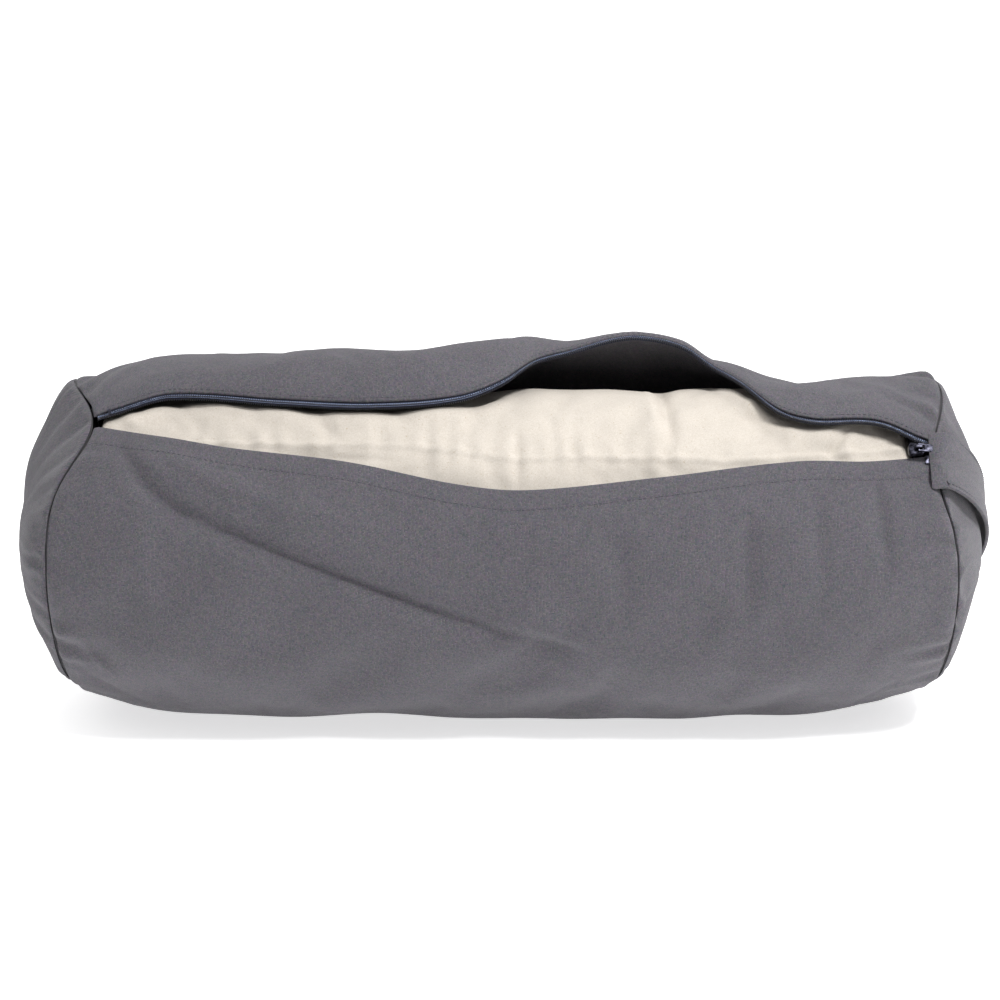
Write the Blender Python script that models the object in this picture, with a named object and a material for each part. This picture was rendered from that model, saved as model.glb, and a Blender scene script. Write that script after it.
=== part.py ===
"""Round bolster: a removable canvas cover with a lapped zip, a cotton cushion inside it, and a carry strap.

+X runs along the bolster towards the strap end, -Y faces the zip side and +Z is up. The origin is on the
floor under the middle. Lengths are metres. Angles round the section start at the top (0) and grow towards
the zip side (90 is the front, 180 underneath, 270 the back).
"""

import math

import bpy
import numpy as np
from mathutils import Vector

# Overall sizes
SEAM_X = 0.288  # middle of the bolster to each end seam
HALF_DEPTH = 0.119
HALF_HEIGHT = 0.1155
FLOOR_SQUASH = 0.0075  # the round section is cut this far up by the floor, so the underside rests flat
CENTRE_Z = HALF_HEIGHT - FLOOR_SQUASH
REST_HALF_LENGTH = 0.145  # the flat that it rests on; the underside rises beyond it
REST_HALF_WIDTH = 0.040
REST_RISE = 0.045  # per metre
TAPER_LENGTH = 0.128
TAPER = 0.10
TAPER_POWER = 2.2
END_LIFT = 1.0  # share of the taper that is taken off underneath, so the top stays level

# Cover
CLOTH = 0.0012
CLEARANCE = 0.0003
LINING_CLEARANCE = 0.0006
BACK_ANGLE = 285.0  # where the cloth leaves the round section and rises to the zip's upper edge
BACK_HANDLE = 0.61  # how far the cloth's curve runs on from there, as a share of the half height
COVER_STATIONS = 33
FRONT_COLUMNS = 9
REST_COLUMNS = 4
BACK_COLUMNS = 17
SIDE_MARGIN = 0.022  # from a lip to the first evenly spaced column
LOOP_POINTS = 44

# End panels: how far each bulges, and how the zip's and the strap's stiff ends draw the seam inwards
PANEL_FLATNESS = 2.4
BULGE = {-1: 0.0320, 1: 0.0235}
ZIP_END_ANGLE = {-1: 34.0, 1: 48.0}
PULLS = {-1: ((34.0, 0.026),), 1: ((50.0, 0.0155), (231.5, 0.0155))}  # angle, amount
PULL_SPREAD = 24.0
PULL_LENGTH = 0.073
PANEL_RINGS = (1.0, 0.82, 0.58, 0.30)
SEAM_HALF_WIDTH = 0.0009
SEAM_GAP = 0.0024
SEAM_ALLOWANCE = 0.0055

# Lower lip of the mouth: place as a share of the way from the middle to an end seam, angle in degrees
LOWER_LIP = (
    (-0.90, 35.5),
    (-0.75, 38.0),
    (-0.60, 42.0),
    (-0.35, 47.0),
    (-0.10, 55.0),
    (0.05, 57.0),
    (0.35, 52.5),
    (0.65, 47.0),
    (0.80, 48.0),
    (0.95, 48.5),
)

# Upper zip edge: the same share, angle, lift off the round section, slope of the cloth at the edge in
# degrees, and how far the cloth's curve runs on behind the edge, as a share of the half height. The cloth
# stands up as a hood between 0.1 and 0.5.
UPPER_EDGE = (
    (-0.90, 32.5, 0.0000, 38.0, 0.57),
    (-0.85, 28.0, -0.0010, 50.0, 0.59),
    (-0.75, 18.5, -0.0020, 58.0, 0.60),
    (-0.50, 22.0, -0.0020, 62.0, 0.69),
    (-0.30, 24.0, -0.0020, 64.0, 0.75),
    (-0.10, 20.5, -0.0010, 60.0, 0.73),
    (0.00, 12.0, 0.0025, 52.0, 0.65),
    (0.08, -2.0, 0.0095, 40.0, 0.49),
    (0.16, -6.0, 0.0150, 32.0, 0.38),
    (0.25, -7.0, 0.0225, 30.0, 0.31),
    (0.32, -7.0, 0.0245, 30.0, 0.30),
    (0.42, -6.0, 0.0180, 32.0, 0.31),
    (0.50, -1.0, 0.0035, 28.0, 0.34),
    (0.60, 24.0, -0.0010, 36.0, 0.51),
    (0.68, 31.5, -0.0010, 40.0, 0.56),
    (0.82, 33.0, -0.0010, 40.0, 0.58),
    (0.91, 42.0, -0.0010, 44.0, 0.61),
    (0.95, 45.5, 0.0000, 46.0, 0.61),
)

# Zip
COIL_WIDTH = 0.0054
COIL_THICKNESS = 0.0016
TAPE_THICKNESS = 0.0006
TAPE_WIDTH = 0.0085
LAP = 0.0008  # how far the lower lip covers the lower coil
ZIP_END_GAP = 0.009  # nominal, from the end seam to the tapes' ends
ZIP_REACH = SEAM_X - ZIP_END_GAP
STOP_LENGTH = 0.0026
STITCH_INSET = 0.0130
WELT_STITCH_INSET = 0.0022
STITCH_WIDTH = 0.0009
STITCH_HEIGHT = 0.0005

# Slider and its pull
SLIDER_START = (0.0270, 46.5)  # distance in from the end seam, angle
SLIDER_STOP = (0.0500, 32.0)
SLIDER_STANDOFF = 0.0036  # its travel line clears the cover's section at the closed end by this
CLOSED_END = 0.013  # nominal distance of that section from the end seam
SLIDER_LENGTH = 0.0100
SLIDER_WIDTH = 0.0080
SLIDER_TAIL_WIDTH = 0.0060
SLIDER_HEIGHT = 0.0044
BRIDGE_LENGTH = 0.0054
BRIDGE_WIDTH = 0.0020
BRIDGE_HEIGHT = 0.0031
BRIDGE_WALL = 0.0009
BRIDGE_OFFSET = 0.0012  # towards the closed end
TAB_LENGTH = 0.0090
TAB_WIDTH = 0.0056
TAB_THICKNESS = 0.0010
TAB_ARM = 0.0012
TAB_DROOP = 5.0

# Carry strap
STRAP_ANGLE = 51.5
STRAP_WIDTH = 0.038
STRAP_THICKNESS = 0.0022
STRAP_STANDOFF = 0.0027  # from the end seam to the middle of the strap's thickness
STRAP_START = 0.0135  # how far inside the end seam's plane the strap starts
HAND_GAP = 0.0096  # between the end panel's crown and the middle of the strap's thickness
STRAP_FULLNESS = 1.55  # 2 is a parabola from root to root; less is fuller
STRAP_END_CUT = 0.30  # its ends are cut back towards the edges, so it can swing sideways
STRAP_ROWS = 25
STRAP_STITCH_INSET = 0.0025
ROOT_LENGTH = 0.0030
ROOT_GAP = 0.0005

# Inner cushion
CUSHION_INSET = 0.0098
CUSHION_FLOOR = 0.0022
CASING = 0.0008
CUSHION_END_GAP = 0.038  # from the end seam's plane to the cushion's own end seam
CUSHION_HALF_LENGTH = SEAM_X - CUSHION_END_GAP
CUSHION_BULGE = 0.030
CUSHION_STATIONS = 11
CUSHION_POINTS = 28
RIDGE_ANGLE = 43.0
RIDGE_WIDTH = 0.0030
RIDGE_HEIGHT = 0.0008


def clear_scene():
    for item in list(bpy.data.objects):
        bpy.data.objects.remove(item, do_unlink=True)


def smoothstep(value):
    value = min(1.0, max(0.0, value))
    return value * value * (3.0 - 2.0 * value)


def read_curve(rows, x):
    """Smooth values at x through the rows' own values, with the end rows held beyond them."""
    places = [row[0] for row in rows]
    x = min(max(x, places[0]), places[-1])
    k = min(max(int(np.searchsorted(places, x)) - 1, 0), len(rows) - 2)
    span = places[k + 1] - places[k]
    t = (x - places[k]) / span
    values = []
    for column in range(1, len(rows[0])):
        before, start = rows[max(k - 1, 0)], rows[k]
        end, after = rows[k + 1], rows[min(k + 2, len(rows) - 1)]
        rise_in = (end[column] - before[column]) / (end[0] - before[0]) * span
        rise_out = (after[column] - start[column]) / (after[0] - start[0]) * span
        values.append(
            (2 * t**3 - 3 * t**2 + 1) * start[column]
            + (t**3 - 2 * t**2 + t) * rise_in
            + (3 * t**2 - 2 * t**3) * end[column]
            + (t**3 - t**2) * rise_out
        )
    return values


def barrel(x):
    """The section's scale at x: full over the middle, smaller towards the end seams."""
    beyond = max(0.0, abs(x) - SEAM_X + TAPER_LENGTH) / TAPER_LENGTH
    return 1.0 - TAPER * min(beyond, 1.0) ** TAPER_POWER


def centre(x):
    """Height of the section's centre at x."""
    return CENTRE_Z + END_LIFT * HALF_HEIGHT * (1.0 - barrel(x))


def pull_at(x, angle):
    """How far the seam's stiff spots draw the cloth inwards, at nominal x and angle in degrees."""
    side = 1 if x > 0 else -1
    near_end = smoothstep((abs(x) - SEAM_X + PULL_LENGTH) / PULL_LENGTH)
    total = 0.0
    for at_angle, amount in PULLS[side]:
        away = (angle - at_angle + 180.0) % 360.0 - 180.0
        total += amount * math.exp(-((away / PULL_SPREAD) ** 2))
    return side * near_end * total


def drawn_in(x, y, z):
    """A point of the cover at nominal x, moved to where the pulled seam takes it."""
    scale = barrel(x)
    across = -y / (HALF_DEPTH * scale)
    above = (z - centre(x)) / (HALF_HEIGHT * scale)
    out = min(1.0, math.hypot(across, above))
    angle = math.degrees(math.atan2(across, above))
    return Vector((x - out * out * pull_at(x, angle), y, z))


class Outline:
    """The cover's outer section at one station, from the lower lip underneath to the upper zip edge."""

    ARC_STEPS = 180
    CURVE_STEPS = 60
    SLOPE_REACH = 0.0015  # each way, to read the direction of the cloth

    def __init__(self, x):
        self.x = x
        scale = barrel(x)
        depth, height, middle = HALF_DEPTH * scale, HALF_HEIGHT * scale, centre(x)
        side = 1 if x > 0 else -1
        zip_x = x - pull_at(x, ZIP_END_ANGLE[side])
        (lower,) = read_curve(LOWER_LIP, zip_x / SEAM_X)
        upper, lift, slope, handle = read_curve(UPPER_EDGE, zip_x / SEAM_X)

        angles = np.radians(np.linspace(lower, BACK_ANGLE, self.ARC_STEPS))
        arc = np.column_stack([-depth * np.sin(angles), middle + height * np.cos(angles)])
        leave = np.array([-depth * math.cos(angles[-1]), -height * math.sin(angles[-1])])
        leave /= np.linalg.norm(leave)
        upper, slope = math.radians(upper), math.radians(slope)
        edge = np.array(
            [-(depth + lift) * math.sin(upper), middle + (height + lift) * math.cos(upper)]
        )
        arrive = np.array([-math.cos(slope), -math.sin(slope)])
        t = np.linspace(0.0, 1.0, self.CURVE_STEPS)[1:, None]
        curve = (
            (1 - t) ** 3 * arc[-1]
            + 3 * (1 - t) ** 2 * t * (arc[-1] + leave * BACK_HANDLE * height)
            + 3 * (1 - t) * t**2 * (edge - arrive * handle * height)
            + t**3 * edge
        )
        self.points = np.vstack([arc, curve])
        self.floor = REST_RISE * max(0.0, abs(x) - REST_HALF_LENGTH)
        self.points[:, 1] = np.maximum(self.points[:, 1], self.floor)
        steps = np.linalg.norm(np.diff(self.points, axis=0), axis=1)
        self.along = np.concatenate([[0.0], np.cumsum(steps)])
        self.length = self.along[-1]
        under = slice(self.ARC_STEPS // 4, self.ARC_STEPS * 3 // 4)
        self.rest = np.interp(
            [-REST_HALF_WIDTH, REST_HALF_WIDTH], self.points[under, 0], self.along[under]
        )

    def point(self, distance, depth=0.0):
        """A point at a distance from the lower lip, and a depth below the outer surface."""
        here = [np.interp(distance, self.along, self.points[:, k]) for k in (0, 1)]
        near = np.clip([distance - self.SLOPE_REACH, distance + self.SLOPE_REACH], 0.0, self.length)
        ahead = [np.diff(np.interp(near, self.along, self.points[:, k]))[0] for k in (0, 1)]
        size = math.hypot(*ahead)
        y = here[0] - ahead[1] / size * depth
        z = here[1] + ahead[0] / size * depth
        if depth > 0:
            z = max(z, self.floor + depth)
        return drawn_in(self.x, y, z)


def make_material(name, colour, roughness, metallic=0.0):
    material = bpy.data.materials.new(name)
    material.use_nodes = True
    shader = material.node_tree.nodes["Principled BSDF"]
    shader.inputs["Base Color"].default_value = (*colour, 1.0)
    shader.inputs["Roughness"].default_value = roughness
    shader.inputs["Metallic"].default_value = metallic
    material.diffuse_color = (*colour, 1.0)
    return material


FINISHES = {
    "cover": ((0.115, 0.110, 0.120), 0.92, 0.0),
    "seam": ((0.030, 0.030, 0.034), 0.90, 0.0),
    "thread": ((0.060, 0.058, 0.064), 0.85, 0.0),
    "tape": ((0.020, 0.021, 0.030), 0.80, 0.0),
    "coil": ((0.012, 0.014, 0.026), 0.40, 0.0),
    "metal": ((0.130, 0.130, 0.140), 0.32, 1.0),
    "cushion": ((0.820, 0.760, 0.660), 0.90, 0.0),
    "filling": ((0.860, 0.830, 0.760), 0.95, 0.0),
}


def add_solid(name, finish, points, faces, origin=(0.0, 0.0, 0.0)):
    """One named object with its own material, its origin where a joint needs it, and its faces outwards."""
    origin = Vector(origin)
    mesh = bpy.data.meshes.new(name)
    mesh.from_pydata([tuple(Vector(point) - origin) for point in points], [], faces)
    mesh.validate()
    mesh.update()
    if signed_volume(mesh) < 0:
        mesh.flip_normals()
    mesh.shade_smooth()
    mesh.set_sharp_from_angle(angle=math.radians(40.0))
    colour, roughness, metallic = FINISHES[finish]
    mesh.materials.append(make_material(name, colour, roughness, metallic))
    piece = bpy.data.objects.new(name, mesh)
    piece.location = origin
    bpy.context.collection.objects.link(piece)
    return piece


def signed_volume(mesh):
    mesh.calc_loop_triangles()
    total = 0.0
    for triangle in mesh.loop_triangles:
        a, b, c = (mesh.vertices[k].co for k in triangle.vertices)
        total += a.dot(b.cross(c))
    return total


def add_slab(name, finish, outer, inner, origin=(0.0, 0.0, 0.0)):
    """A closed slab between two grids of points with the same rows and columns."""
    rows, columns = len(outer), len(outer[0])
    points = [point for grid in (outer, inner) for row in grid for point in row]
    under = rows * columns
    faces = []
    for r in range(rows - 1):
        for c in range(columns - 1):
            a = r * columns + c
            quad = (a, a + 1, a + columns + 1, a + columns)
            faces.append(quad)
            faces.append(tuple(under + k for k in reversed(quad)))
    rim = list(range(columns - 1))
    rim += [r * columns + columns - 1 for r in range(rows - 1)]
    rim += [(rows - 1) * columns + c for c in range(columns - 1, 0, -1)]
    rim += [r * columns for r in range(rows - 1, 0, -1)]
    for k, a in enumerate(rim):
        b = rim[(k + 1) % len(rim)]
        faces.append((b, a, under + a, under + b))
    return add_solid(name, finish, points, faces, origin)


def add_loft(name, finish, loops, closed_round=False, origin=(0.0, 0.0, 0.0)):
    """A closed solid through equal loops: joined first to last, or closed by a point at each end."""
    count = len(loops[0])
    points = [point for loop in loops for point in loop]
    faces = []
    spans = len(loops) if closed_round else len(loops) - 1
    for k in range(spans):
        a, b = k * count, (k + 1) % len(loops) * count
        for j in range(count):
            n = (j + 1) % count
            faces.append((a + j, a + n, b + n, b + j))
    if not closed_round:
        for loop, first in ((loops[0], 0), (loops[-1], (len(loops) - 1) * count)):
            middle = sum((Vector(point) for point in loop), Vector()) / count
            points.append(middle)
            tip = len(points) - 1
            ring = [first + j for j in range(count)]
            order = ring if first else ring[::-1]
            for j in range(count):
                faces.append((order[j], order[(j + 1) % count], tip))
    return add_solid(name, finish, points, faces, origin)


def section_loop(x, inset=0.0, share=1.0, floor=0.0, at_x=None, count=LOOP_POINTS):
    """A closed loop round the section at x, inset or scaled towards the centre line."""
    depth = (HALF_DEPTH * barrel(x) - inset) * share
    height = (HALF_HEIGHT * barrel(x) - inset) * share
    loop = []
    for k in range(count):
        angle = 2.0 * math.pi * k / count
        y = -depth * math.sin(angle)
        z = max(floor, centre(x) + height * math.cos(angle))
        loop.append((x if at_x is None else at_x, y, z))
    return loop


def cover_stations(reach):
    return [reach * k for k in np.linspace(-1.0, 1.0, COVER_STATIONS)]


def add_cover_wrap():
    edge_back = COIL_WIDTH + CLEARANCE
    first = (0.0, 0.006, STITCH_INSET - STITCH_WIDTH, STITCH_INSET + STITCH_WIDTH)
    last = (0.0160, 0.0115, edge_back + WELT_STITCH_INSET + STITCH_WIDTH, edge_back)
    outer, inner = [], []
    for x in cover_stations(SEAM_X - SEAM_GAP):
        section = Outline(x)
        middle = [
            *np.linspace(SIDE_MARGIN, section.rest[0], FRONT_COLUMNS),
            *np.linspace(*section.rest, REST_COLUMNS)[1:],
            *np.linspace(section.rest[1], section.length - SIDE_MARGIN, BACK_COLUMNS)[1:],
        ]
        places = [*first, *middle, *(section.length - back for back in last)]
        outer.append([section.point(place) for place in places])
        inner.append([section.point(place, CLOTH) for place in places])
    add_slab("cover_wrap", "cover", outer, inner)


def add_strip(name, finish, reach, place, depths, stations=None):
    """A thin strip along the zip; place gives its two distances from the lower lip at a section."""
    outer, inner = [], []
    for x in stations or [x for x in cover_stations(SEAM_X - SEAM_GAP) if abs(x) <= reach]:
        section = Outline(x)
        distances = place(section)
        outer.append([section.point(distance, depths[0]) for distance in distances])
        inner.append([section.point(distance, depths[1]) for distance in distances])
    add_slab(name, finish, outer, inner)


def add_zip():
    lining = CLOTH + LINING_CLEARANCE
    coil_depths = (0.0, COIL_THICKNESS)
    hidden_coil_depths = (lining, lining + COIL_THICKNESS)
    tape_depths = (lining, lining + TAPE_THICKNESS)
    lower_start = LAP + COIL_WIDTH + CLEARANCE
    upper_start = COIL_WIDTH + CLEARANCE

    def upper_coil(section):
        return (section.length - COIL_WIDTH, section.length)

    def lower_coil(section):
        return (LAP, LAP + COIL_WIDTH)

    add_strip("zip_coil_upper", "coil", ZIP_REACH, upper_coil, coil_depths)
    add_strip("zip_coil_lower", "coil", ZIP_REACH, lower_coil, hidden_coil_depths)
    add_strip(
        "zip_tape_upper",
        "tape",
        ZIP_REACH,
        lambda section: (
            section.length - upper_start - TAPE_WIDTH,
            section.length - upper_start,
        ),
        tape_depths,
    )
    add_strip(
        "zip_tape_lower",
        "tape",
        ZIP_REACH,
        lambda section: (lower_start, lower_start + TAPE_WIDTH),
        tape_depths,
    )
    stop_at = -ZIP_REACH + 0.002
    stop_stations = [stop_at, stop_at + STOP_LENGTH]
    above_coil = (-CLEARANCE - 0.0009, -CLEARANCE)
    under_coil = (
        hidden_coil_depths[1] + CLEARANCE,
        hidden_coil_depths[1] + CLEARANCE + 0.0009,
    )
    add_strip("zip_top_stop_upper", "metal", 1.0, upper_coil, above_coil, stop_stations)
    add_strip("zip_top_stop_lower", "metal", 1.0, lower_coil, under_coil, stop_stations)
    bottom_at = ZIP_REACH + 0.0030
    add_strip(
        "zip_bottom_stop",
        "metal",
        1.0,
        lambda section: (-0.0002, COIL_WIDTH),
        (-CLEARANCE - 0.0009, -CLEARANCE),
        [bottom_at, bottom_at + STOP_LENGTH],
    )


def add_topstitching():
    depths = (-CLEARANCE - STITCH_HEIGHT, -CLEARANCE)
    half = STITCH_WIDTH / 2
    welt = COIL_WIDTH + CLEARANCE + WELT_STITCH_INSET
    add_strip(
        "topstitch_lower",
        "thread",
        ZIP_REACH,
        lambda section: (STITCH_INSET - half, STITCH_INSET + half),
        depths,
    )
    add_strip(
        "topstitch_upper",
        "thread",
        ZIP_REACH,
        lambda section: (section.length - welt - half, section.length - welt + half),
        depths,
    )


def add_end(side, label):
    """An end panel with its thickness, and the sewn seam allowance between it and the wrap."""
    rims = []
    for depth in (0.0, CLOTH):
        rings = []
        for share in PANEL_RINGS:
            bulge = BULGE[side] * (1.0 - share**PANEL_FLATNESS)
            at_x = side * (SEAM_X + SEAM_GAP + bulge - (depth if share < 1.0 else 0.0))
            rings.append(
                [
                    drawn_in(*point)
                    for point in section_loop(side * SEAM_X, depth, share, at_x=at_x)
                ]
            )
        rims.append(rings)
    add_loft(f"cover_end_{label}", "cover", rims[0][::-1] + rims[1])

    seam = []
    corners = ((-1, 0.0), (1, 0.0), (1, SEAM_ALLOWANCE), (-1, SEAM_ALLOWANCE))
    for way, inset in corners:
        at_x = side * SEAM_X + way * SEAM_HALF_WIDTH
        loop = section_loop(side * SEAM_X, inset, at_x=at_x)
        seam.append([drawn_in(*point) for point in loop])
    add_loft(f"end_seam_{label}", "seam", seam, closed_round=True)


def cushion_loop(x, extra=0.0, share=1.0, at_x=None):
    floor = CUSHION_FLOOR + extra
    inset = CUSHION_INSET + extra
    return section_loop(x, inset, share, floor, at_x, CUSHION_POINTS)


def add_cushion():
    stations = np.linspace(-1.0, 1.0, CUSHION_STATIONS) * CUSHION_HALF_LENGTH
    outer = [cushion_loop(x) for x in stations]
    inner = [cushion_loop(x, CASING) for x in stations]
    add_loft("inner_casing", "cushion", outer + inner[::-1], closed_round=True)

    fill = CASING + CLEARANCE * 2
    reach = CUSHION_HALF_LENGTH - CLEARANCE
    core = [cushion_loop(x, fill) for x in np.linspace(-reach, reach, CUSHION_STATIONS)]
    for side in (-1, 1):
        for share in PANEL_RINGS[1:]:
            bulge = (CUSHION_BULGE - CASING - 2 * CLEARANCE) * (1.0 - share**2)
            at_x = side * (reach + bulge)
            loop = cushion_loop(side * reach, fill, share, at_x)
            core = [loop] + core if side < 0 else core + [loop]
    add_loft("filling_core", "filling", core)

    for side, label in ((-1, "left"), (1, "right")):
        skins = []
        for depth in (0.0, CASING):
            rings = []
            for share in PANEL_RINGS:
                start = CUSHION_HALF_LENGTH + CLEARANCE
                at_x = side * (start + CUSHION_BULGE * (1.0 - share**2))
                if share < 1.0:
                    at_x -= side * depth
                rings.append(cushion_loop(side * CUSHION_HALF_LENGTH, depth, share, at_x))
            skins.append(rings)
        add_loft(f"inner_end_{label}", "cushion", skins[0][::-1] + skins[1])
    add_cushion_ridge(stations)


def add_cushion_ridge(stations):
    """The felled seam that closes the casing lengthwise, standing on its surface."""
    outer, inner = [], []
    for x in stations:
        high, low = [], []
        for way in (-0.5, 0.5):
            depth = HALF_DEPTH * barrel(x) - CUSHION_INSET
            height = HALF_HEIGHT * barrel(x) - CUSHION_INSET
            angle = math.radians(RIDGE_ANGLE) + way * RIDGE_WIDTH / height
            for rise, row in ((CLEARANCE + RIDGE_HEIGHT, high), (CLEARANCE, low)):
                y = -(depth + rise) * math.sin(angle)
                z = centre(x) + (height + rise) * math.cos(angle)
                row.append((x, y, z))
        outer.append(high)
        inner.append(low)
    add_slab("inner_long_seam", "cushion", outer, inner)


def section_radius(x, angle):
    """The round section's radius in a direction given in degrees."""
    turn = math.radians(angle)
    depth, height = HALF_DEPTH * barrel(x), HALF_HEIGHT * barrel(x)
    return 1.0 / math.hypot(math.sin(turn) / depth, math.cos(turn) / height)


def slider_frame():
    """The slider's place, and its directions: along the zip, off the cloth and across the zip."""
    ends, middle = [], centre(SEAM_X - CLOSED_END)
    for side, (inwards, angle) in ((1, SLIDER_START), (-1, SLIDER_STOP)):
        turn, scale = math.radians(angle), barrel(SEAM_X - CLOSED_END)
        depth = HALF_DEPTH * scale + SLIDER_STANDOFF
        height = HALF_HEIGHT * scale + SLIDER_STANDOFF
        y, z = -depth * math.sin(turn), middle + height * math.cos(turn)
        ends.append(Vector((side * (SEAM_X - inwards), y, z)))
    start, stop = ends
    along = (start - stop).normalized()
    off = start - Vector((start.x, 0.0, middle))
    off = (off - along * off.dot(along)).normalized()
    return start, along, off, along.cross(off)


def add_prism(name, finish, outline, low, high, frame, origin, hole=None):
    """A flat outline in (along, across), raised from low to high off the cloth; hole is an inner outline."""
    start, along, off, across = frame
    loops = []
    for path, level in ((outline, low), (outline, high)):
        loops.append([start + along * a + across * c + off * level for a, c in path])
    if hole:
        for path, level in ((hole, high), (hole, low)):
            loops.append([start + along * a + across * c + off * level for a, c in path])
        add_loft(name, finish, loops, closed_round=True, origin=origin)
        return
    count = len(outline)
    points = loops[0] + loops[1]
    faces = [tuple(range(count)), tuple(range(2 * count - 1, count - 1, -1))]
    for j in range(count):
        n = (j + 1) % count
        faces.append((n, j, count + j, count + n))
    add_solid(name, finish, points, faces, origin)


def add_slider():
    frame = slider_frame()
    start, along, off, across = frame
    nose, tail = -SLIDER_LENGTH / 2, SLIDER_LENGTH / 2
    wide, narrow = SLIDER_WIDTH / 2, SLIDER_TAIL_WIDTH / 2
    body = [
        (nose, -wide * 0.62),
        (nose + 0.0012, -wide),
        (nose + 0.0034, -wide),
        (tail - 0.0022, -narrow),
        (tail - 0.0006, -narrow),
        (tail, -narrow + 0.0010),
        (tail, narrow - 0.0010),
        (tail - 0.0006, narrow),
        (tail - 0.0022, narrow),
        (nose + 0.0034, wide),
        (nose + 0.0012, wide),
        (nose, wide * 0.62),
    ]
    half = SLIDER_HEIGHT / 2
    add_prism("zip_slider_body", "metal", body, -half, half, frame, start)

    base = half + CLEARANCE
    reach = BRIDGE_LENGTH / 2
    arch = [
        (-reach, base),
        (-reach, base + BRIDGE_HEIGHT * 0.62),
        (-reach + 0.0009, base + BRIDGE_HEIGHT),
        (reach - 0.0009, base + BRIDGE_HEIGHT),
        (reach, base + BRIDGE_HEIGHT * 0.62),
        (reach, base),
        (reach - BRIDGE_WALL, base),
        (reach - BRIDGE_WALL, base + BRIDGE_HEIGHT - BRIDGE_WALL),
        (-reach + BRIDGE_WALL, base + BRIDGE_HEIGHT - BRIDGE_WALL),
        (-reach + BRIDGE_WALL, base),
    ]
    points, count = [], len(arch)
    for way in (-BRIDGE_WIDTH / 2, BRIDGE_WIDTH / 2):
        for a, level in arch:
            points.append(start + along * (a + BRIDGE_OFFSET) + off * level + across * way)
    faces = [tuple(range(count)), tuple(range(2 * count - 1, count - 1, -1))]
    for j in range(count):
        n = (j + 1) % count
        faces.append((n, j, count + j, count + n))
    add_solid("zip_slider_bridge", "metal", points, faces, start)

    axis_level = base + (BRIDGE_HEIGHT - BRIDGE_WALL) / 2
    pivot = start + along * BRIDGE_OFFSET + off * axis_level
    droop = math.radians(TAB_DROOP)
    tilted = along * math.cos(droop) - off * math.sin(droop)
    lifted = off * math.cos(droop) + along * math.sin(droop)
    bar = TAB_THICKNESS / 2
    wide = TAB_WIDTH / 2
    window = BRIDGE_LENGTH / 2 + 0.0008
    outline = [
        (-bar, -wide),
        (TAB_LENGTH - 0.0012, -wide),
        (TAB_LENGTH, -wide + 0.0012),
        (TAB_LENGTH, wide - 0.0012),
        (TAB_LENGTH - 0.0012, wide),
        (-bar, wide),
    ]
    hole_wide = wide - TAB_ARM
    hole = [
        (bar, -hole_wide),
        (window - 0.0004, -hole_wide),
        (window, -hole_wide + 0.0004),
        (window, hole_wide - 0.0004),
        (window - 0.0004, hole_wide),
        (bar, hole_wide),
    ]
    tab_frame = (pivot, tilted, lifted, across)
    add_prism("zip_pull_tab", "metal", outline, -bar, bar, tab_frame, pivot, hole)


def panel_crown(side):
    """How far from the middle the end panel's centre bulges."""
    return SEAM_X + SEAM_GAP + BULGE[side]


def strap_radius():
    """Half the strap's span between its two roots."""
    return section_radius(SEAM_X, STRAP_ANGLE) + STRAP_STANDOFF


def cover_reach(x, angle, lateral):
    """How far out the cover comes at a true place x, in the strap's own direction and beside it."""
    station = x
    beside = angle + math.degrees(lateral / strap_radius())
    for _ in range(12):
        station = x + pull_at(station, beside)
    turn = math.radians(angle)
    sine, cosine = math.sin(turn), math.cos(turn)
    depth, height = HALF_DEPTH * barrel(station), HALF_HEIGHT * barrel(station)
    # where the line beside the strap's middle crosses the oval: a r^2 + 2 b r + c = 0
    a = (sine / depth) ** 2 + (cosine / height) ** 2
    b = -lateral * sine * cosine * (1.0 / height**2 - 1.0 / depth**2)
    c = (lateral * cosine / depth) ** 2 + (lateral * sine / height) ** 2 - 1.0
    lower_centre = (centre(station) - centre(SEAM_X)) * cosine
    return (math.sqrt(b * b - a * c) - b) / a + lower_centre


def strap_point(turn, lateral, lift=0.0):
    """A point of the strap: turn runs from one root (-90) over the end panel to the other (90)."""
    radians = math.radians(turn)
    sine, cosine = math.sin(radians), max(math.cos(radians), 0.0)
    reach, crown = strap_radius(), panel_crown(1) + HAND_GAP
    start = SEAM_X - STRAP_START + STRAP_END_CUT * abs(lateral)
    rise = crown - start
    full_rise = crown - SEAM_X + STRAP_START
    normal = Vector((cosine ** (2.0 - STRAP_FULLNESS) * reach, STRAP_FULLNESS * abs(sine) * full_rise))
    normal.normalize()
    radius = reach * sine + math.copysign(normal.y, sine) * lift
    x = start + rise * cosine**STRAP_FULLNESS + normal.x * lift
    return strap_place(x, radius, lateral)


def strap_place(x, radius, lateral):
    """World place of a point at x, at a radius along the strap's own diameter, and across it."""
    turn = math.radians(STRAP_ANGLE)
    y = -radius * math.sin(turn) + lateral * math.cos(turn)
    z = centre(SEAM_X) + radius * math.cos(turn) + lateral * math.sin(turn)
    return Vector((x, y, z))


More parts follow.
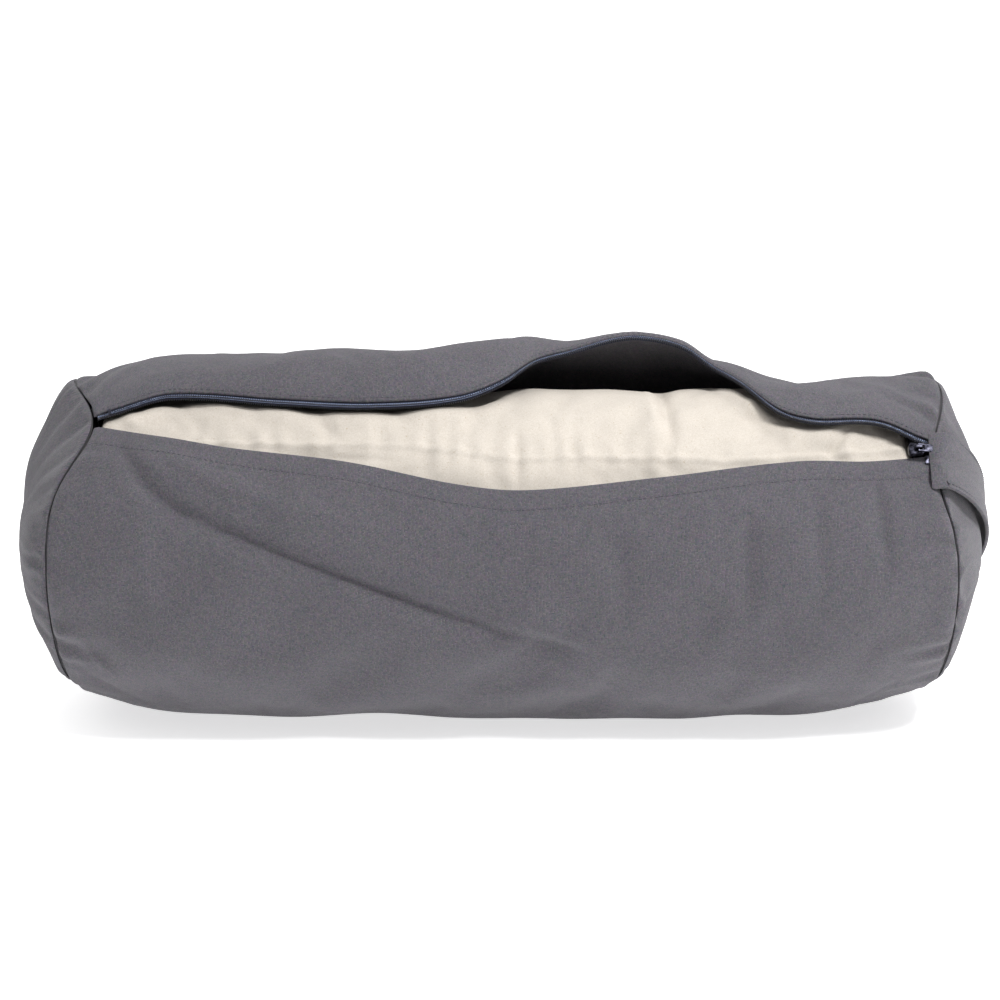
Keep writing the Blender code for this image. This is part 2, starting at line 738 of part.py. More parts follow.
def add_strap():
    start = SEAM_X - STRAP_START
    axis_point = Vector((start, 0.0, centre(SEAM_X)))
    half = STRAP_WIDTH / 2
    thick = STRAP_THICKNESS / 2
    # rows are closer together near the roots, where the strap turns over
    turns = [90.0 * math.copysign(abs(t) ** 0.6, t) for t in np.linspace(-1.0, 1.0, STRAP_ROWS)]
    laterals = (-half, -half / 2, 0.0, half / 2, half)
    outer = [[strap_point(turn, across, thick) for across in laterals] for turn in turns]
    inner = [[strap_point(turn, across, -thick) for across in laterals] for turn in turns]
    add_slab("handle_strap", "cover", outer, inner, axis_point)

    for way, label in ((-1, "lower"), (1, "upper")):
        middle = way * (half - STRAP_STITCH_INSET)
        sides = (middle - STITCH_WIDTH / 2, middle + STITCH_WIDTH / 2)
        low = thick + CLEARANCE
        outer = [[strap_point(turn, c, low + STITCH_HEIGHT) for c in sides] for turn in turns]
        inner = [[strap_point(turn, c, low) for c in sides] for turn in turns]
        add_slab(f"handle_stitch_{label}", "thread", outer, inner, axis_point)

    for way, label in ((1, "front"), (-1, "back")):
        grids = []
        inner_end = start - ROOT_GAP - ROOT_LENGTH
        angle = STRAP_ANGLE if way > 0 else STRAP_ANGLE + 180.0
        reach = max(cover_reach(inner_end, angle, lateral) for lateral in (-half, 0.0, half))
        middle = max(strap_radius(), reach + CLEARANCE + thick)
        for radius in (middle + thick, middle - thick):
            grid = []
            for x in (inner_end, start - ROOT_GAP):
                grid.append([strap_place(x, way * radius, lateral) for lateral in (-half, 0.0, half)])
            grids.append(grid)
        add_slab(f"handle_root_{label}", "cover", grids[0], grids[1])


def main():
    clear_scene()
    add_cover_wrap()
    for side, label in ((-1, "left"), (1, "right")):
        add_end(side, label)
    add_zip()
    add_topstitching()
    add_cushion()
    add_slider()
    add_strap()


main()
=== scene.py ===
"""Looks of the round bolster: canvas cover with a lapped zip, cotton cushion inside it, and carry strap.

Metres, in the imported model's frame: +X along the bolster towards the strap, -Y towards the zip, +Z up.
Angles round the section start at the top (0) and grow towards the zip side (90 is the front).
"""

import math

import bpy
import numpy as np
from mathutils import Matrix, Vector


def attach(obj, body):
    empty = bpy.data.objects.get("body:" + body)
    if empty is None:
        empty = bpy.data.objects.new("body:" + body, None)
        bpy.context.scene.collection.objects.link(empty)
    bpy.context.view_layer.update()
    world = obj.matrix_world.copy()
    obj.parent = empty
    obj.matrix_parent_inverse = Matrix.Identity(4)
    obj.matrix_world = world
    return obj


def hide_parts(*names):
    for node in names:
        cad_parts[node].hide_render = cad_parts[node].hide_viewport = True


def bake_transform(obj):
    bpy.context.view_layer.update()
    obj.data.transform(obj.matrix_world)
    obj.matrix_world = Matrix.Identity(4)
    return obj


MM = 0.001

# The cover's form, as the solid model has it
SEAM_X = 0.288
HALF_DEPTH = 0.119
HALF_HEIGHT = 0.1155
CENTRE_Z = 0.108
MEAN_RADIUS = 0.106  # turns degrees round the casing into metres
PANEL_RADIUS = 0.107
REST_HALF_LENGTH = 0.145
REST_RISE = 0.045
TAPER_LENGTH = 0.128
TAPER = 0.10
TAPER_POWER = 2.2
END_LIFT = 1.0
BACK_ANGLE = 285.0
BACK_HANDLE = 0.61
PANEL_FLATNESS = 2.4
BULGE = {-1: 0.0320, 1: 0.0235}
ZIP_END_ANGLE = {-1: 34.0, 1: 48.0}
PULLS = {-1: ((34.0, 0.026),), 1: ((50.0, 0.0155), (231.5, 0.0155))}
PULL_SPREAD = 24.0
PULL_LENGTH = 0.073

# Lower lip of the mouth: share of the way from the middle to an end seam, angle
LOWER_LIP = (
    (-0.90, 35.5),
    (-0.75, 38.0),
    (-0.60, 42.0),
    (-0.35, 47.0),
    (-0.10, 55.0),
    (0.05, 57.0),
    (0.35, 52.5),
    (0.65, 47.0),
    (0.80, 48.0),
    (0.95, 48.5),
)

# Upper zip edge: share, angle, lift off the round section, slope, how far the curve runs on behind it
UPPER_EDGE = (
    (-0.90, 32.5, 0.0000, 38.0, 0.57),
    (-0.85, 28.0, -0.0010, 50.0, 0.59),
    (-0.75, 18.5, -0.0020, 58.0, 0.60),
    (-0.50, 22.0, -0.0020, 62.0, 0.69),
    (-0.30, 24.0, -0.0020, 64.0, 0.75),
    (-0.10, 20.5, -0.0010, 60.0, 0.73),
    (0.00, 12.0, 0.0025, 52.0, 0.65),
    (0.08, -2.0, 0.0095, 40.0, 0.49),
    (0.16, -6.0, 0.0150, 32.0, 0.38),
    (0.25, -7.0, 0.0225, 30.0, 0.31),
    (0.32, -7.0, 0.0245, 30.0, 0.30),
    (0.42, -6.0, 0.0180, 32.0, 0.31),
    (0.50, -1.0, 0.0035, 28.0, 0.34),
    (0.60, 24.0, -0.0010, 36.0, 0.51),
    (0.68, 31.5, -0.0010, 40.0, 0.56),
    (0.82, 33.0, -0.0010, 40.0, 0.58),
    (0.91, 42.0, -0.0010, 44.0, 0.61),
    (0.95, 45.5, 0.0000, 46.0, 0.61),
)

# Cloth of the cover
CLOTH = 0.9 * MM
WRAP_REACH = SEAM_X - 0.6 * MM
HEM_RADIUS = 0.75 * MM
LOWER_HEM = 12.0 * MM
UPPER_HEM = 10.0 * MM
ZIP_EDGE = 5.9 * MM  # from the zip's upper edge back to the cloth's fold
SEAM_ROLL = 2.6 * MM  # how far the cloth turns in at an end seam
SEAM_ROLL_LENGTH = 7.0 * MM
SEAM_SUNK = 4.4 * MM  # the seam allowance's middle, below the cover's surface
SEAM_FAIRING = 55.0 * MM  # the cover's top meets the end panel's rim over this length
WRAP_COLUMNS = 150
WRAP_STATIONS = 128
PANEL_CELLS = 60
STRAP_CUSHIONING = 3.5 * MM  # the right end's extra fullness behind the strap

# Zip
COIL_PITCH = 1.5 * MM
COIL_WIRE = 0.33 * MM
COIL_HALF_WIDTH = 1.55 * MM
COIL_HALF_HEIGHT = 0.75 * MM
COIL_IN = 1.7 * MM  # the coil's middle, in from the zip's edge
ZIP_REACH = SEAM_X - 3.0 * MM
TAPE_WIDTH = 14.0 * MM
STITCH_INSET = 13.0 * MM
WELT_STITCH = 8.1 * MM

# Carry strap
STRAP_ANGLE = 51.5
STRAP_WIDTH = 0.038
STRAP_THICKNESS = 0.0022
STRAP_STANDOFF = 0.0027
STRAP_START = 0.0135
HAND_GAP = 0.0096
STRAP_FULLNESS = 1.55
STRAP_END_CUT = 0.30
ROOT_LENGTH = 0.0045

# Inner cushion
CUSHION_INSET = 9.8 * MM
CUSHION_FLOOR = 2.2 * MM
CUSHION_HALF_LENGTH = SEAM_X - 28.0 * MM
CUSHION_BULGE = 0.020
CUSHION_START_INSET = 3.0 * MM  # it starts this much smaller, and swells
CUSHION_LIMIT = 6.8 * MM  # nearest that its surface comes to the cover's
PRESS_ANGLE = 6.0  # degrees to either side of the zip's edge where the casing presses up against it
PRESS_RISE = 3.2 * MM
CUSHION_VOXEL = 4.6 * MM

FOLD_SHARPNESS = 1.35  # 2 is a soft roll; less is a crisper crease

# Light
FRONT_LEVEL = 0.16  # the room's level in front of the bolster, against 1 behind it

FLOOR_GLOW = 0.62  # the floor's own light, as a lit sweep has
FLOOR_HALF = 60.0
KEY_PLACE, KEY_SIZE, KEY_POWER = (0.80, -0.70, 1.70), 0.40, 33.0

# Camera
CAMERA_ELEVATION = 15.0
CAMERA_DISTANCE = 1.45
CAMERA_LENS = 76.86
CAMERA_SHIFT = (-0.003, 0.046)

# Simulation
SIM_FRAMES = 18
WRAP_CAP = 1.6 * MM
PANEL_CAP = 2.0 * MM
CUSHION_CAP = 3.0 * MM

# Small unevenness, as largest depths: gathers stand at the seams, ripples are everywhere
WRAP_RIPPLE = 1.5 * MM
WRAP_GATHERS = 4.5 * MM
PANEL_RIPPLE = 1.7 * MM
PANEL_GATHERS = 3.6 * MM
CASING_RIPPLE = 1.1 * MM
CASING_GATHERS = 1.3 * MM

# Folds pressed into the cover: depth (a ridge where negative), half width, then the (x in mm, angle)
# points of its path
COVER_FOLDS = (
    (8.5, 6.5, ((-250, 47), (-205, 64), (-140, 77), (-40, 96), (50, 110))),
    (-4.2, 13.0, ((-232, 42), (-185, 54), (-115, 66), (-30, 79))),
    (3.0, 4.0, ((-258, 42), (-235, 49), (-200, 58))),
    (2.4, 6.0, ((-222, 46), (-180, 60))),
    (2.2, 5.0, ((152, 66), (154, 96))),
    (2.8, 5.0, ((238, 54), (241, 90))),
    (1.6, 7.0, ((74, 72), (74, 96))),
    (1.8, 6.0, ((196, 60), (201, 98))),
    (-2.8, 8.0, ((205, 25), (262, 9))),
    (-1.5, 6.0, ((-274, 10), (-250, -12))),
    (-1.4, 5.0, ((-270, 21), (-240, 14))),
    (1.8, 5.0, ((-272, 132), (-232, 146))),
    (1.2, 6.0, ((-268, 118), (-240, 122))),
    (1.4, 6.0, ((262, 130), (235, 145))),
    (-1.2, 9.0, ((30, -30), (5, -8))),
    (-1.2, 9.0, ((150, -34), (172, -8))),
    (1.2, 10.0, ((90, -40), (94, -20))),
)

# The same for the cushion's casing
CASING_FOLDS = (
    (2.2, 2.6, ((9, 28), (9, 57))),
    (1.3, 4.0, ((65, 34), (65, 56))),
    (5.0, 4.2, ((106, -14), (107, 20), (109, 39))),
    (-2.2, 6.0, ((96, -8), (97, 30))),
    (2.8, 2.8, ((206, 43), (224, 29))),
    (1.6, 5.0, ((-205, 18), (-150, 27))),
    (1.4, 4.0, ((-150, 40), (-60, 44))),
    (1.8, 5.0, ((150, 20), (205, 31))),
    (1.4, 4.0, ((30, 20), (34, 40))),
    (1.2, 4.0, ((-120, 25), (-100, 36))),
)
CASING_SEAM = ((-262, 35), (-60, 36), (10, 42), (60, 40), (140, 43), (262, 39))
CASING_SEAM_HEIGHT = 1.0 * MM
CASING_SEAM_HALF_WIDTH = 1.6 * MM


# ---------------------------------------------------------------- form


def smoothstep(value):
    value = np.clip(value, 0.0, 1.0)
    return value * value * (3.0 - 2.0 * value)


def read_curve(rows, x):
    """Smooth values at x through the rows' own values, with the end rows held beyond them."""
    places = [row[0] for row in rows]
    x = min(max(x, places[0]), places[-1])
    k = min(max(int(np.searchsorted(places, x)) - 1, 0), len(rows) - 2)
    span = places[k + 1] - places[k]
    t = (x - places[k]) / span
    values = []
    for column in range(1, len(rows[0])):
        before, start = rows[max(k - 1, 0)], rows[k]
        end, after = rows[k + 1], rows[min(k + 2, len(rows) - 1)]
        rise_in = (end[column] - before[column]) / (end[0] - before[0]) * span
        rise_out = (after[column] - start[column]) / (after[0] - start[0]) * span
        values.append(
            (2 * t**3 - 3 * t**2 + 1) * start[column]
            + (t**3 - 2 * t**2 + t) * rise_in
            + (3 * t**2 - 2 * t**3) * end[column]
            + (t**3 - t**2) * rise_out
        )
    return values


def barrel(x):
    """The section's scale at x: full over the middle, smaller towards the end seams."""
    beyond = np.clip((np.abs(x) - SEAM_X + TAPER_LENGTH) / TAPER_LENGTH, 0.0, 1.0)
    return 1.0 - TAPER * beyond**TAPER_POWER


def centre(x):
    """Height of the section's centre at x: it rises towards the ends, so the top stays level."""
    return CENTRE_Z + END_LIFT * HALF_HEIGHT * (1.0 - barrel(x))


def pull_at(x, angle):
    """How far the seam's stiff spots draw the cloth inwards, at nominal x and angle in degrees."""
    side = 1 if x > 0 else -1
    near_end = smoothstep((abs(x) - SEAM_X + PULL_LENGTH) / PULL_LENGTH)
    total = 0.0
    for at_angle, amount in PULLS[side]:
        away = (angle - at_angle + 180.0) % 360.0 - 180.0
        total = total + amount * np.exp(-((away / PULL_SPREAD) ** 2))
    return side * near_end * total


def section_angle(x, y, z):
    scale = barrel(x)
    return np.degrees(np.arctan2(-y / (HALF_DEPTH * scale), (z - centre(x)) / (HALF_HEIGHT * scale)))


def drawn_in(x, y, z, at_x=None):
    """Points of nominal x, moved to where the pulled seam takes them, as an array of rows."""
    scale = barrel(x)
    out = np.hypot(y / (HALF_DEPTH * scale), (z - centre(x)) / (HALF_HEIGHT * scale))
    place = x if at_x is None else at_x
    moved = place - np.minimum(out, 1.0) ** 2 * pull_at(x, section_angle(x, y, z))
    return np.column_stack([moved + np.zeros_like(y), y, z])


class Outline:
    """The cover's outer section at one station, from the lower lip underneath to the upper zip edge."""

    ARC_STEPS = 260
    CURVE_STEPS = 120

    def __init__(self, x):
        self.x = x
        scale = barrel(x)
        depth, height, middle = HALF_DEPTH * scale, HALF_HEIGHT * scale, centre(x)
        zip_x = x - pull_at(x, ZIP_END_ANGLE[1 if x > 0 else -1])
        (lower,) = read_curve(LOWER_LIP, zip_x / SEAM_X)
        upper, lift, slope, handle = read_curve(UPPER_EDGE, zip_x / SEAM_X)
        angles = np.radians(np.linspace(lower, BACK_ANGLE, self.ARC_STEPS))
        arc = np.column_stack([-depth * np.sin(angles), middle + height * np.cos(angles)])
        leave = np.array([-depth * math.cos(angles[-1]), -height * math.sin(angles[-1])])
        leave /= np.linalg.norm(leave)
        upper, slope = math.radians(upper), math.radians(slope)
        edge = np.array(
            [-(depth + lift) * math.sin(upper), middle + (height + lift) * math.cos(upper)]
        )
        arrive = np.array([-math.cos(slope), -math.sin(slope)])
        t = np.linspace(0.0, 1.0, self.CURVE_STEPS)[1:, None]
        curve = (
            (1 - t) ** 3 * arc[-1]
            + 3 * (1 - t) ** 2 * t * (arc[-1] + leave * BACK_HANDLE * height)
            + 3 * (1 - t) * t**2 * (edge - arrive * handle * height)
            + t**3 * edge
        )
        near_seam = smoothstep((abs(x) - SEAM_X + SEAM_FAIRING) / SEAM_FAIRING)
        from_edge = np.linalg.norm(curve - edge, axis=1)
        fullness = np.hypot(curve[:, 0] / depth, (curve[:, 1] - middle) / height)
        fair = near_seam * smoothstep(from_edge / (40 * MM)) * (1.0 / fullness - 1.0)
        curve = curve + (curve - np.array([0.0, middle])) * fair[:, None]
        self.points = np.vstack([arc, curve])
        self.floor = REST_RISE * max(0.0, abs(x) - REST_HALF_LENGTH)
        steps = np.linalg.norm(np.diff(self.points, axis=0), axis=1)
        self.along = np.concatenate([[0.0], np.cumsum(steps)])
        self.length = self.along[-1]

    def places(self, distances, depths):
        """Points at distances from the lower lip and depths below the surface, and their normals."""
        distances = np.asarray(distances, float)
        here = [np.interp(distances, self.along, self.points[:, k]) for k in (0, 1)]
        low = np.clip(distances - 1.5 * MM, 0.0, self.length)
        high = np.clip(distances + 1.5 * MM, 0.0, self.length)
        ahead = [
            np.interp(high, self.along, self.points[:, k])
            - np.interp(low, self.along, self.points[:, k])
            for k in (0, 1)
        ]
        size = np.hypot(*ahead)
        normal = np.column_stack([np.zeros_like(size), ahead[1] / size, -ahead[0] / size])
        y = here[0] - normal[:, 1] * depths
        z = here[1] - normal[:, 2] * depths
        z = np.maximum(z, self.floor + np.maximum(depths, 0.0))
        return drawn_in(self.x, y, z), normal


def fold_depth(folds, x, angle):
    """Depth pressed in by a list of folds, at places x and angles in degrees, both arrays."""
    across = np.radians((angle + 180.0) % 360.0 - 180.0 + 360.0 * (angle > 180.0)) * HALF_HEIGHT
    total = np.zeros_like(x)
    for depth, width, path in folds:
        line = [(px * MM, math.radians(turn) * HALF_HEIGHT) for px, turn in path]
        nearest = np.full(x.shape, 9.0)
        lengthwise = np.zeros_like(x)
        for k, (a, b) in enumerate(zip(line, line[1:])):
            run = (b[0] - a[0], b[1] - a[1])
            t = ((x - a[0]) * run[0] + (across - a[1]) * run[1]) / (run[0] ** 2 + run[1] ** 2)
            held = np.clip(t, 0.0, 1.0)
            away = np.hypot(x - a[0] - run[0] * held, across - a[1] - run[1] * held)
            closer = away < nearest
            nearest = np.where(closer, away, nearest)
            lengthwise = np.where(closer, (k + held) / (len(line) - 1), lengthwise)
        ends = smoothstep(lengthwise / 0.15) * smoothstep((1.0 - lengthwise) / 0.35)
        profile = np.exp(-((nearest / (width * MM)) ** FOLD_SHARPNESS))
        total += depth * MM * (0.25 + 0.75 * ends) * profile
    return total


def ripple(seed, across, along, shortest, longest, count=9):
    """A smooth, repeatable unevenness of about unit size over two lengths in metres."""
    dice = np.random.default_rng(seed)
    total = np.zeros_like(across)
    for _ in range(count):
        wave = dice.uniform(shortest, longest)
        turn, phase = dice.uniform(0, math.pi), dice.uniform(0, 2 * math.pi)
        reach = across * math.cos(turn) + along * math.sin(turn)
        total += np.sin(2 * math.pi * reach / wave + phase)
    return total / math.sqrt(count)


def puckers(seed, around, from_seam, length=0.024):
    """Short gathers that stand square to a seam and die away from it."""
    dice = np.random.default_rng(seed)
    total = np.zeros_like(around)
    for _ in range(16):
        wave, phase = dice.uniform(0.011, 0.034), dice.uniform(0, 2 * math.pi)
        reach = length * dice.uniform(0.5, 1.3)
        patch = 0.5 + 0.5 * np.sin(around * dice.uniform(9, 22) + dice.uniform(0, 6.3))
        total += patch * np.sin(2 * math.pi * around / wave + phase) * np.exp(-from_seam / reach)
    return total / 4.0


# ---------------------------------------------------------------- meshes


def new_object(name, points, faces, uvs=None):
    mesh = bpy.data.meshes.new(name)
    mesh.from_pydata([tuple(point) for point in points], [], faces)
    if uvs is not None:
        layer = mesh.uv_layers.new(name="UVMap")
        layer.data.foreach_set("uv", np.asarray(uvs, np.float32).ravel())
    mesh.update()
    mesh.shade_smooth()
    piece = bpy.data.objects.new(name, mesh)
    bpy.context.scene.collection.objects.link(piece)
    return piece


def add_grid(name, points, uvs, flip=False, closed_rows=False):
    """A quad sheet from arrays (rows, columns, 3) and (rows, columns, 2)."""
    rows, columns = points.shape[:2]
    faces, corners = [], []
    for r in range(rows if closed_rows else rows - 1):
        for c in range(columns - 1):
            n = (r + 1) % rows
            quad = [(r, c), (r, c + 1), (n, c + 1), (n, c)]
            if flip:
                quad.reverse()
            faces.append([a * columns + b for a, b in quad])
            corners.extend(uvs[a, b] for a, b in quad)
    return new_object(name, points.reshape(-1, 3), faces, corners)


def bake_modifiers(piece):
    """The piece's modifiers, applied."""
    graph = bpy.context.evaluated_depsgraph_get()
    mesh = bpy.data.meshes.new_from_object(piece.evaluated_get(graph), depsgraph=graph)
    piece.modifiers.clear()
    piece.data = mesh
    mesh.shade_smooth()
    return piece


def coordinates(piece):
    values = np.zeros(len(piece.data.vertices) * 3, np.float32)
    piece.data.vertices.foreach_get("co", values)
    return values.reshape(-1, 3).astype(float)


def set_coordinates(piece, values):
    piece.data.vertices.foreach_set("co", np.asarray(values, np.float32).ravel())
    piece.data.update()


def thicken(piece, thickness, subdivide=1):
    """Gives a sheet its smoothness and its thickness, half to each side."""
    smooth = piece.modifiers.new("smooth", "SUBSURF")
    smooth.levels = smooth.render_levels = subdivide
    shell = piece.modifiers.new("shell", "SOLIDIFY")
    shell.thickness = thickness
    shell.offset = 0.0
    return bake_modifiers(piece)


def loop_faces(loops, count):
    """Quads between loops of count points each."""
    faces = []
    for r in range(loops - 1):
        for c in range(count):
            n = (c + 1) % count
            faces.append((r * count + c, r * count + n, (r + 1) * count + n, (r + 1) * count + c))
    return faces


def end_faces(loops, count):
    return [tuple(range(count))[::-1], tuple((loops - 1) * count + c for c in range(count))]


def sweep(path, sides, half_width, half_height, corners, closed=False):
    """A tube of oval section along a path: sides are its width directions at each point."""
    path = np.asarray(path, float)
    tangent = np.gradient(path, axis=0)
    tangent /= np.linalg.norm(tangent, axis=1)[:, None]
    across = np.asarray(sides, float)
    across = across - tangent * np.sum(across * tangent, axis=1)[:, None]
    across /= np.linalg.norm(across, axis=1)[:, None]
    upward = np.cross(tangent, across)
    turns = np.linspace(0, 2 * math.pi, corners, endpoint=False)
    rings = (
        path[:, None, :]
        + across[:, None, :] * (half_width * np.cos(turns))[None, :, None]
        + upward[:, None, :] * (half_height * np.sin(turns))[None, :, None]
    )
    faces = loop_faces(len(path), corners)
    if not closed:
        faces += end_faces(len(path), corners)
    return rings.reshape(-1, 3), faces


def add_many(name, shapes):
    """One object from several (points, faces) shapes."""
    points, faces, total = [], [], 0
    for shape_points, shape_faces in shapes:
        points.append(shape_points)
        faces.extend(tuple(index + total for index in face) for face in shape_faces)
        total += len(shape_points)
    return new_object(name, np.vstack(points), faces)


# ---------------------------------------------------------------- simulation


def add_cloth(piece, hold, slack, pressure=0.0, bending=0.6):
    """Cloth on a piece: hold is how firmly each point keeps its place, slack how oversized it is."""
    group = piece.vertex_groups.new(name="hold")
    for index, weight in enumerate(hold):
        group.add([index], float(weight), "REPLACE")
    cloth = piece.modifiers.new("Cloth", "CLOTH")
    settings = cloth.settings
    settings.quality = 5
    settings.mass = 0.25
    settings.tension_stiffness = 18.0
    settings.compression_stiffness = 18.0
    settings.shear_stiffness = 6.0
    settings.bending_stiffness = bending
    settings.air_damping = 3.0
    settings.vertex_group_mass = "hold"
    settings.pin_stiffness = 1.0
    settings.shrink_min = -slack
    settings.effector_weights.gravity = 0.0
    if pressure:
        settings.use_pressure = True
        settings.uniform_pressure_force = pressure
    cloth.collision_settings.use_collision = False
    cloth.point_cache.frame_start = 1
    cloth.point_cache.frame_end = SIM_FRAMES
    return piece


def run_cloth(pieces):
    """Steps the simulation and applies it, no point moving further than its piece's cap."""
    starts = [coordinates(piece) for piece, _ in pieces]
    scene = bpy.context.scene
    for frame_number in range(1, SIM_FRAMES + 1):
        scene.frame_set(frame_number)
    results = []
    graph = bpy.context.evaluated_depsgraph_get()
    for piece, _ in pieces:
        values = np.zeros(len(piece.data.vertices) * 3, np.float32)
        piece.evaluated_get(graph).data.vertices.foreach_get("co", values)
        results.append(values.reshape(-1, 3).astype(float))
    for (piece, cap), start, result in zip(pieces, starts, results):
        piece.modifiers.clear()
        piece.vertex_groups.clear()
        move = result - start
        size = np.linalg.norm(move, axis=1)
        soft = cap * np.tanh(size / cap) / np.maximum(size, 1e-9)
        set_coordinates(piece, start + move * soft[:, None])
    scene.frame_set(1)


# ---------------------------------------------------------------- pieces of the cover


def wrap_columns(section):
    """Distances from the lower lip and depths of the wrap's columns, hem to hem."""
    middle = CLOTH / 2
    radius = HEM_RADIUS
    turns = np.radians([0, 45, 90, 135, 180])
    arc_out = radius * (1.0 - np.sin(turns))
    arc_down = middle + radius * (1.0 + np.cos(turns))
    under = middle + 2 * radius
    low_hem = np.linspace(LOWER_HEM, radius, 6)[:-1]
    top = section.length - ZIP_EDGE
    inner = np.linspace(radius, top - radius, WRAP_COLUMNS)[1:-1]
    high_hem = np.linspace(top - radius, top - UPPER_HEM, 5)[1:]
    places = [*low_hem, *arc_out, *inner, *(top - arc_out[::-1]), *high_hem]
    depths = [under] * 5 + [*arc_down] + [middle] * len(inner) + [*arc_down[::-1]] + [under] * 4
    return np.array(places), np.array(depths)


def seam_roll(x):
    """How deep the cloth has turned in towards an end seam."""
    share = np.clip((np.abs(x) - WRAP_REACH + SEAM_ROLL_LENGTH) / SEAM_ROLL_LENGTH, 0.0, 1.0)
    return SEAM_ROLL * (1.0 - np.sqrt(1.0 - share**2 * 0.999))


def wrap_stations():
    """Even along the barrel, closer together where the cloth turns in at the seams."""
    even = np.linspace(-1.0, 1.0, WRAP_STATIONS) * (WRAP_REACH - SEAM_ROLL_LENGTH)
    turn = WRAP_REACH - SEAM_ROLL_LENGTH * (1.0 - np.sin(np.radians([22, 45, 65, 80, 90])))
    return np.concatenate([-turn[::-1], even, turn])


def add_wrap():
    stations = wrap_stations()
    points, uvs, hold = [], [], []
    for x in stations:
        section = Outline(x)
        places, depths = wrap_columns(section)
        row, normal = section.places(places, depths)
        top = section.length - ZIP_EDGE
        near_lip = np.minimum(places, top - places)
        free = smoothstep((near_lip - 2 * MM) / (26 * MM)) * (depths < CLOTH)
        angle = section_angle(x, row[:, 1], row[:, 2])
        angle = np.where(angle < -90.0, angle + 360.0, angle)
        at_x = np.full_like(angle, x)
        from_seam = SEAM_X - abs(x)
        dip = fold_depth(COVER_FOLDS, at_x, angle)
        dip = dip + WRAP_RIPPLE * ripple(3, at_x, places, 0.05, 0.16)
        gathers = puckers(5 if x < 0 else 8, places, from_seam)
        dip = dip + WRAP_GATHERS * gathers * min(1.0, from_seam / 0.004)
        row = row - normal * (dip * (0.12 + 0.88 * free) + seam_roll(x))[:, None]
        row[:, 2] = np.maximum(row[:, 2], section.floor + CLOTH / 2)
        points.append(row)
        uvs.append(np.column_stack([at_x, places]))
        end_hold = 1.0 - smoothstep((WRAP_REACH - abs(x)) / (7 * MM))
        firm = np.maximum(1.0 - smoothstep((near_lip - 6 * MM) / (22 * MM)), end_hold)
        firm = np.where(depths > CLOTH, 1.0, firm)
        resting = smoothstep((0.016 - row[:, 2]) / 0.012)
        hold.append(np.maximum(np.maximum(firm, resting), 0.05))
    wrap = add_grid("cover_wrap_cloth", np.array(points), np.array(uvs), flip=True)
    return wrap, np.concatenate(hold)


def add_panel(side, label):
    """An end panel on an even grid pressed round, so no point of it is a pole."""
    steps = np.linspace(-1.0, 1.0, PANEL_CELLS + 1)
    a, b = np.meshgrid(steps, steps, indexing="ij")
    across, up = a * np.sqrt(1.0 - b**2 / 2), b * np.sqrt(1.0 - a**2 / 2)
    share = np.clip(np.hypot(across, up), 0.0, 1.0).ravel()
    turn = np.arctan2(across, up).ravel()
    bulge = BULGE[side] * (1.0 - share**PANEL_FLATNESS)
    if side > 0:
        bulge = bulge + STRAP_CUSHIONING * (1.0 - share**2) ** 3
    rim = (1.0 - share) * HALF_HEIGHT
    gathers = puckers(21 + side, turn * PANEL_RADIUS, rim, 0.034)
    uneven = ripple(33 + side, across.ravel() * 0.1, up.ravel() * 0.1, 0.04, 0.12)
    bulge = bulge + PANEL_GATHERS * gathers * smoothstep(rim / 0.006)
    bulge = bulge + PANEL_RIPPLE * uneven * smoothstep(rim / 0.02)
    scale = barrel(SEAM_X)
    turned = SEAM_ROLL * np.exp(-rim / (1.6 * MM))
    y = -(HALF_DEPTH * scale * share - turned) * np.sin(turn)
    z = centre(SEAM_X) + (HALF_HEIGHT * scale * share - turned) * np.cos(turn)
    at_x = side * (SEAM_X + 0.8 * MM + bulge)
    row = drawn_in(side * SEAM_X, y, z, at_x=at_x)
    row[:, 2] = np.maximum(row[:, 2], REST_RISE * (SEAM_X - REST_HALF_LENGTH))
    shape = (PANEL_CELLS + 1, PANEL_CELLS + 1)
    uvs = np.column_stack([row[:, 1], row[:, 2]]).reshape(*shape, 2)
    panel = add_grid(f"cover_end_{label}_cloth", row.reshape(*shape, 3), uvs, flip=side < 0)
    hold = np.maximum(1.0 - smoothstep((rim - 1 * MM) / (9 * MM)), 0.04)
    return panel, hold


def add_seam_ring(side, label):
    """The overlocked allowance of an end seam, down in the valley, in yarn darker than the canvas:
    painted shade that gives the valley its dark line.
    """
    turns = np.linspace(0, 2 * math.pi, 721)
    depth = HALF_DEPTH * barrel(SEAM_X) - SEAM_SUNK
    height = HALF_HEIGHT * barrel(SEAM_X) - SEAM_SUNK
    path = drawn_in(side * SEAM_X, -depth * np.sin(turns), centre(SEAM_X) + height * np.cos(turns))
    path[:, 2] = np.maximum(path[:, 2], REST_RISE * (SEAM_X - REST_HALF_LENGTH) + SEAM_SUNK)
    sides = np.tile([1.0, 0.0, 0.0], (len(path), 1))
    ring = sweep(path, sides, 0.6 * MM, 1.7 * MM, 8, closed=True)
    return add_many(f"end_seam_{label}_allowance", [ring])


# ---------------------------------------------------------------- zip


def edge_frames(count, which, inset, depth, reach):
    """Points along a lip at an inset and a depth, their outward normals and the way along the section."""
    stations = np.linspace(-reach, reach, count)
    points, normals, sideways = [], [], []
    for x in stations:
        section = Outline(x)
        distance = inset if which == "lower" else section.length - inset
        place, normal = section.places([distance], np.array([depth]))
        near, _ = section.places([distance - 0.5 * MM, distance + 0.5 * MM], np.array([depth, depth]))
        points.append(place[0])
        normals.append(normal[0])
        sideways.append((near[1] - near[0]) / np.linalg.norm(near[1] - near[0]))
    return np.array(points), np.array(normals), np.array(sideways)


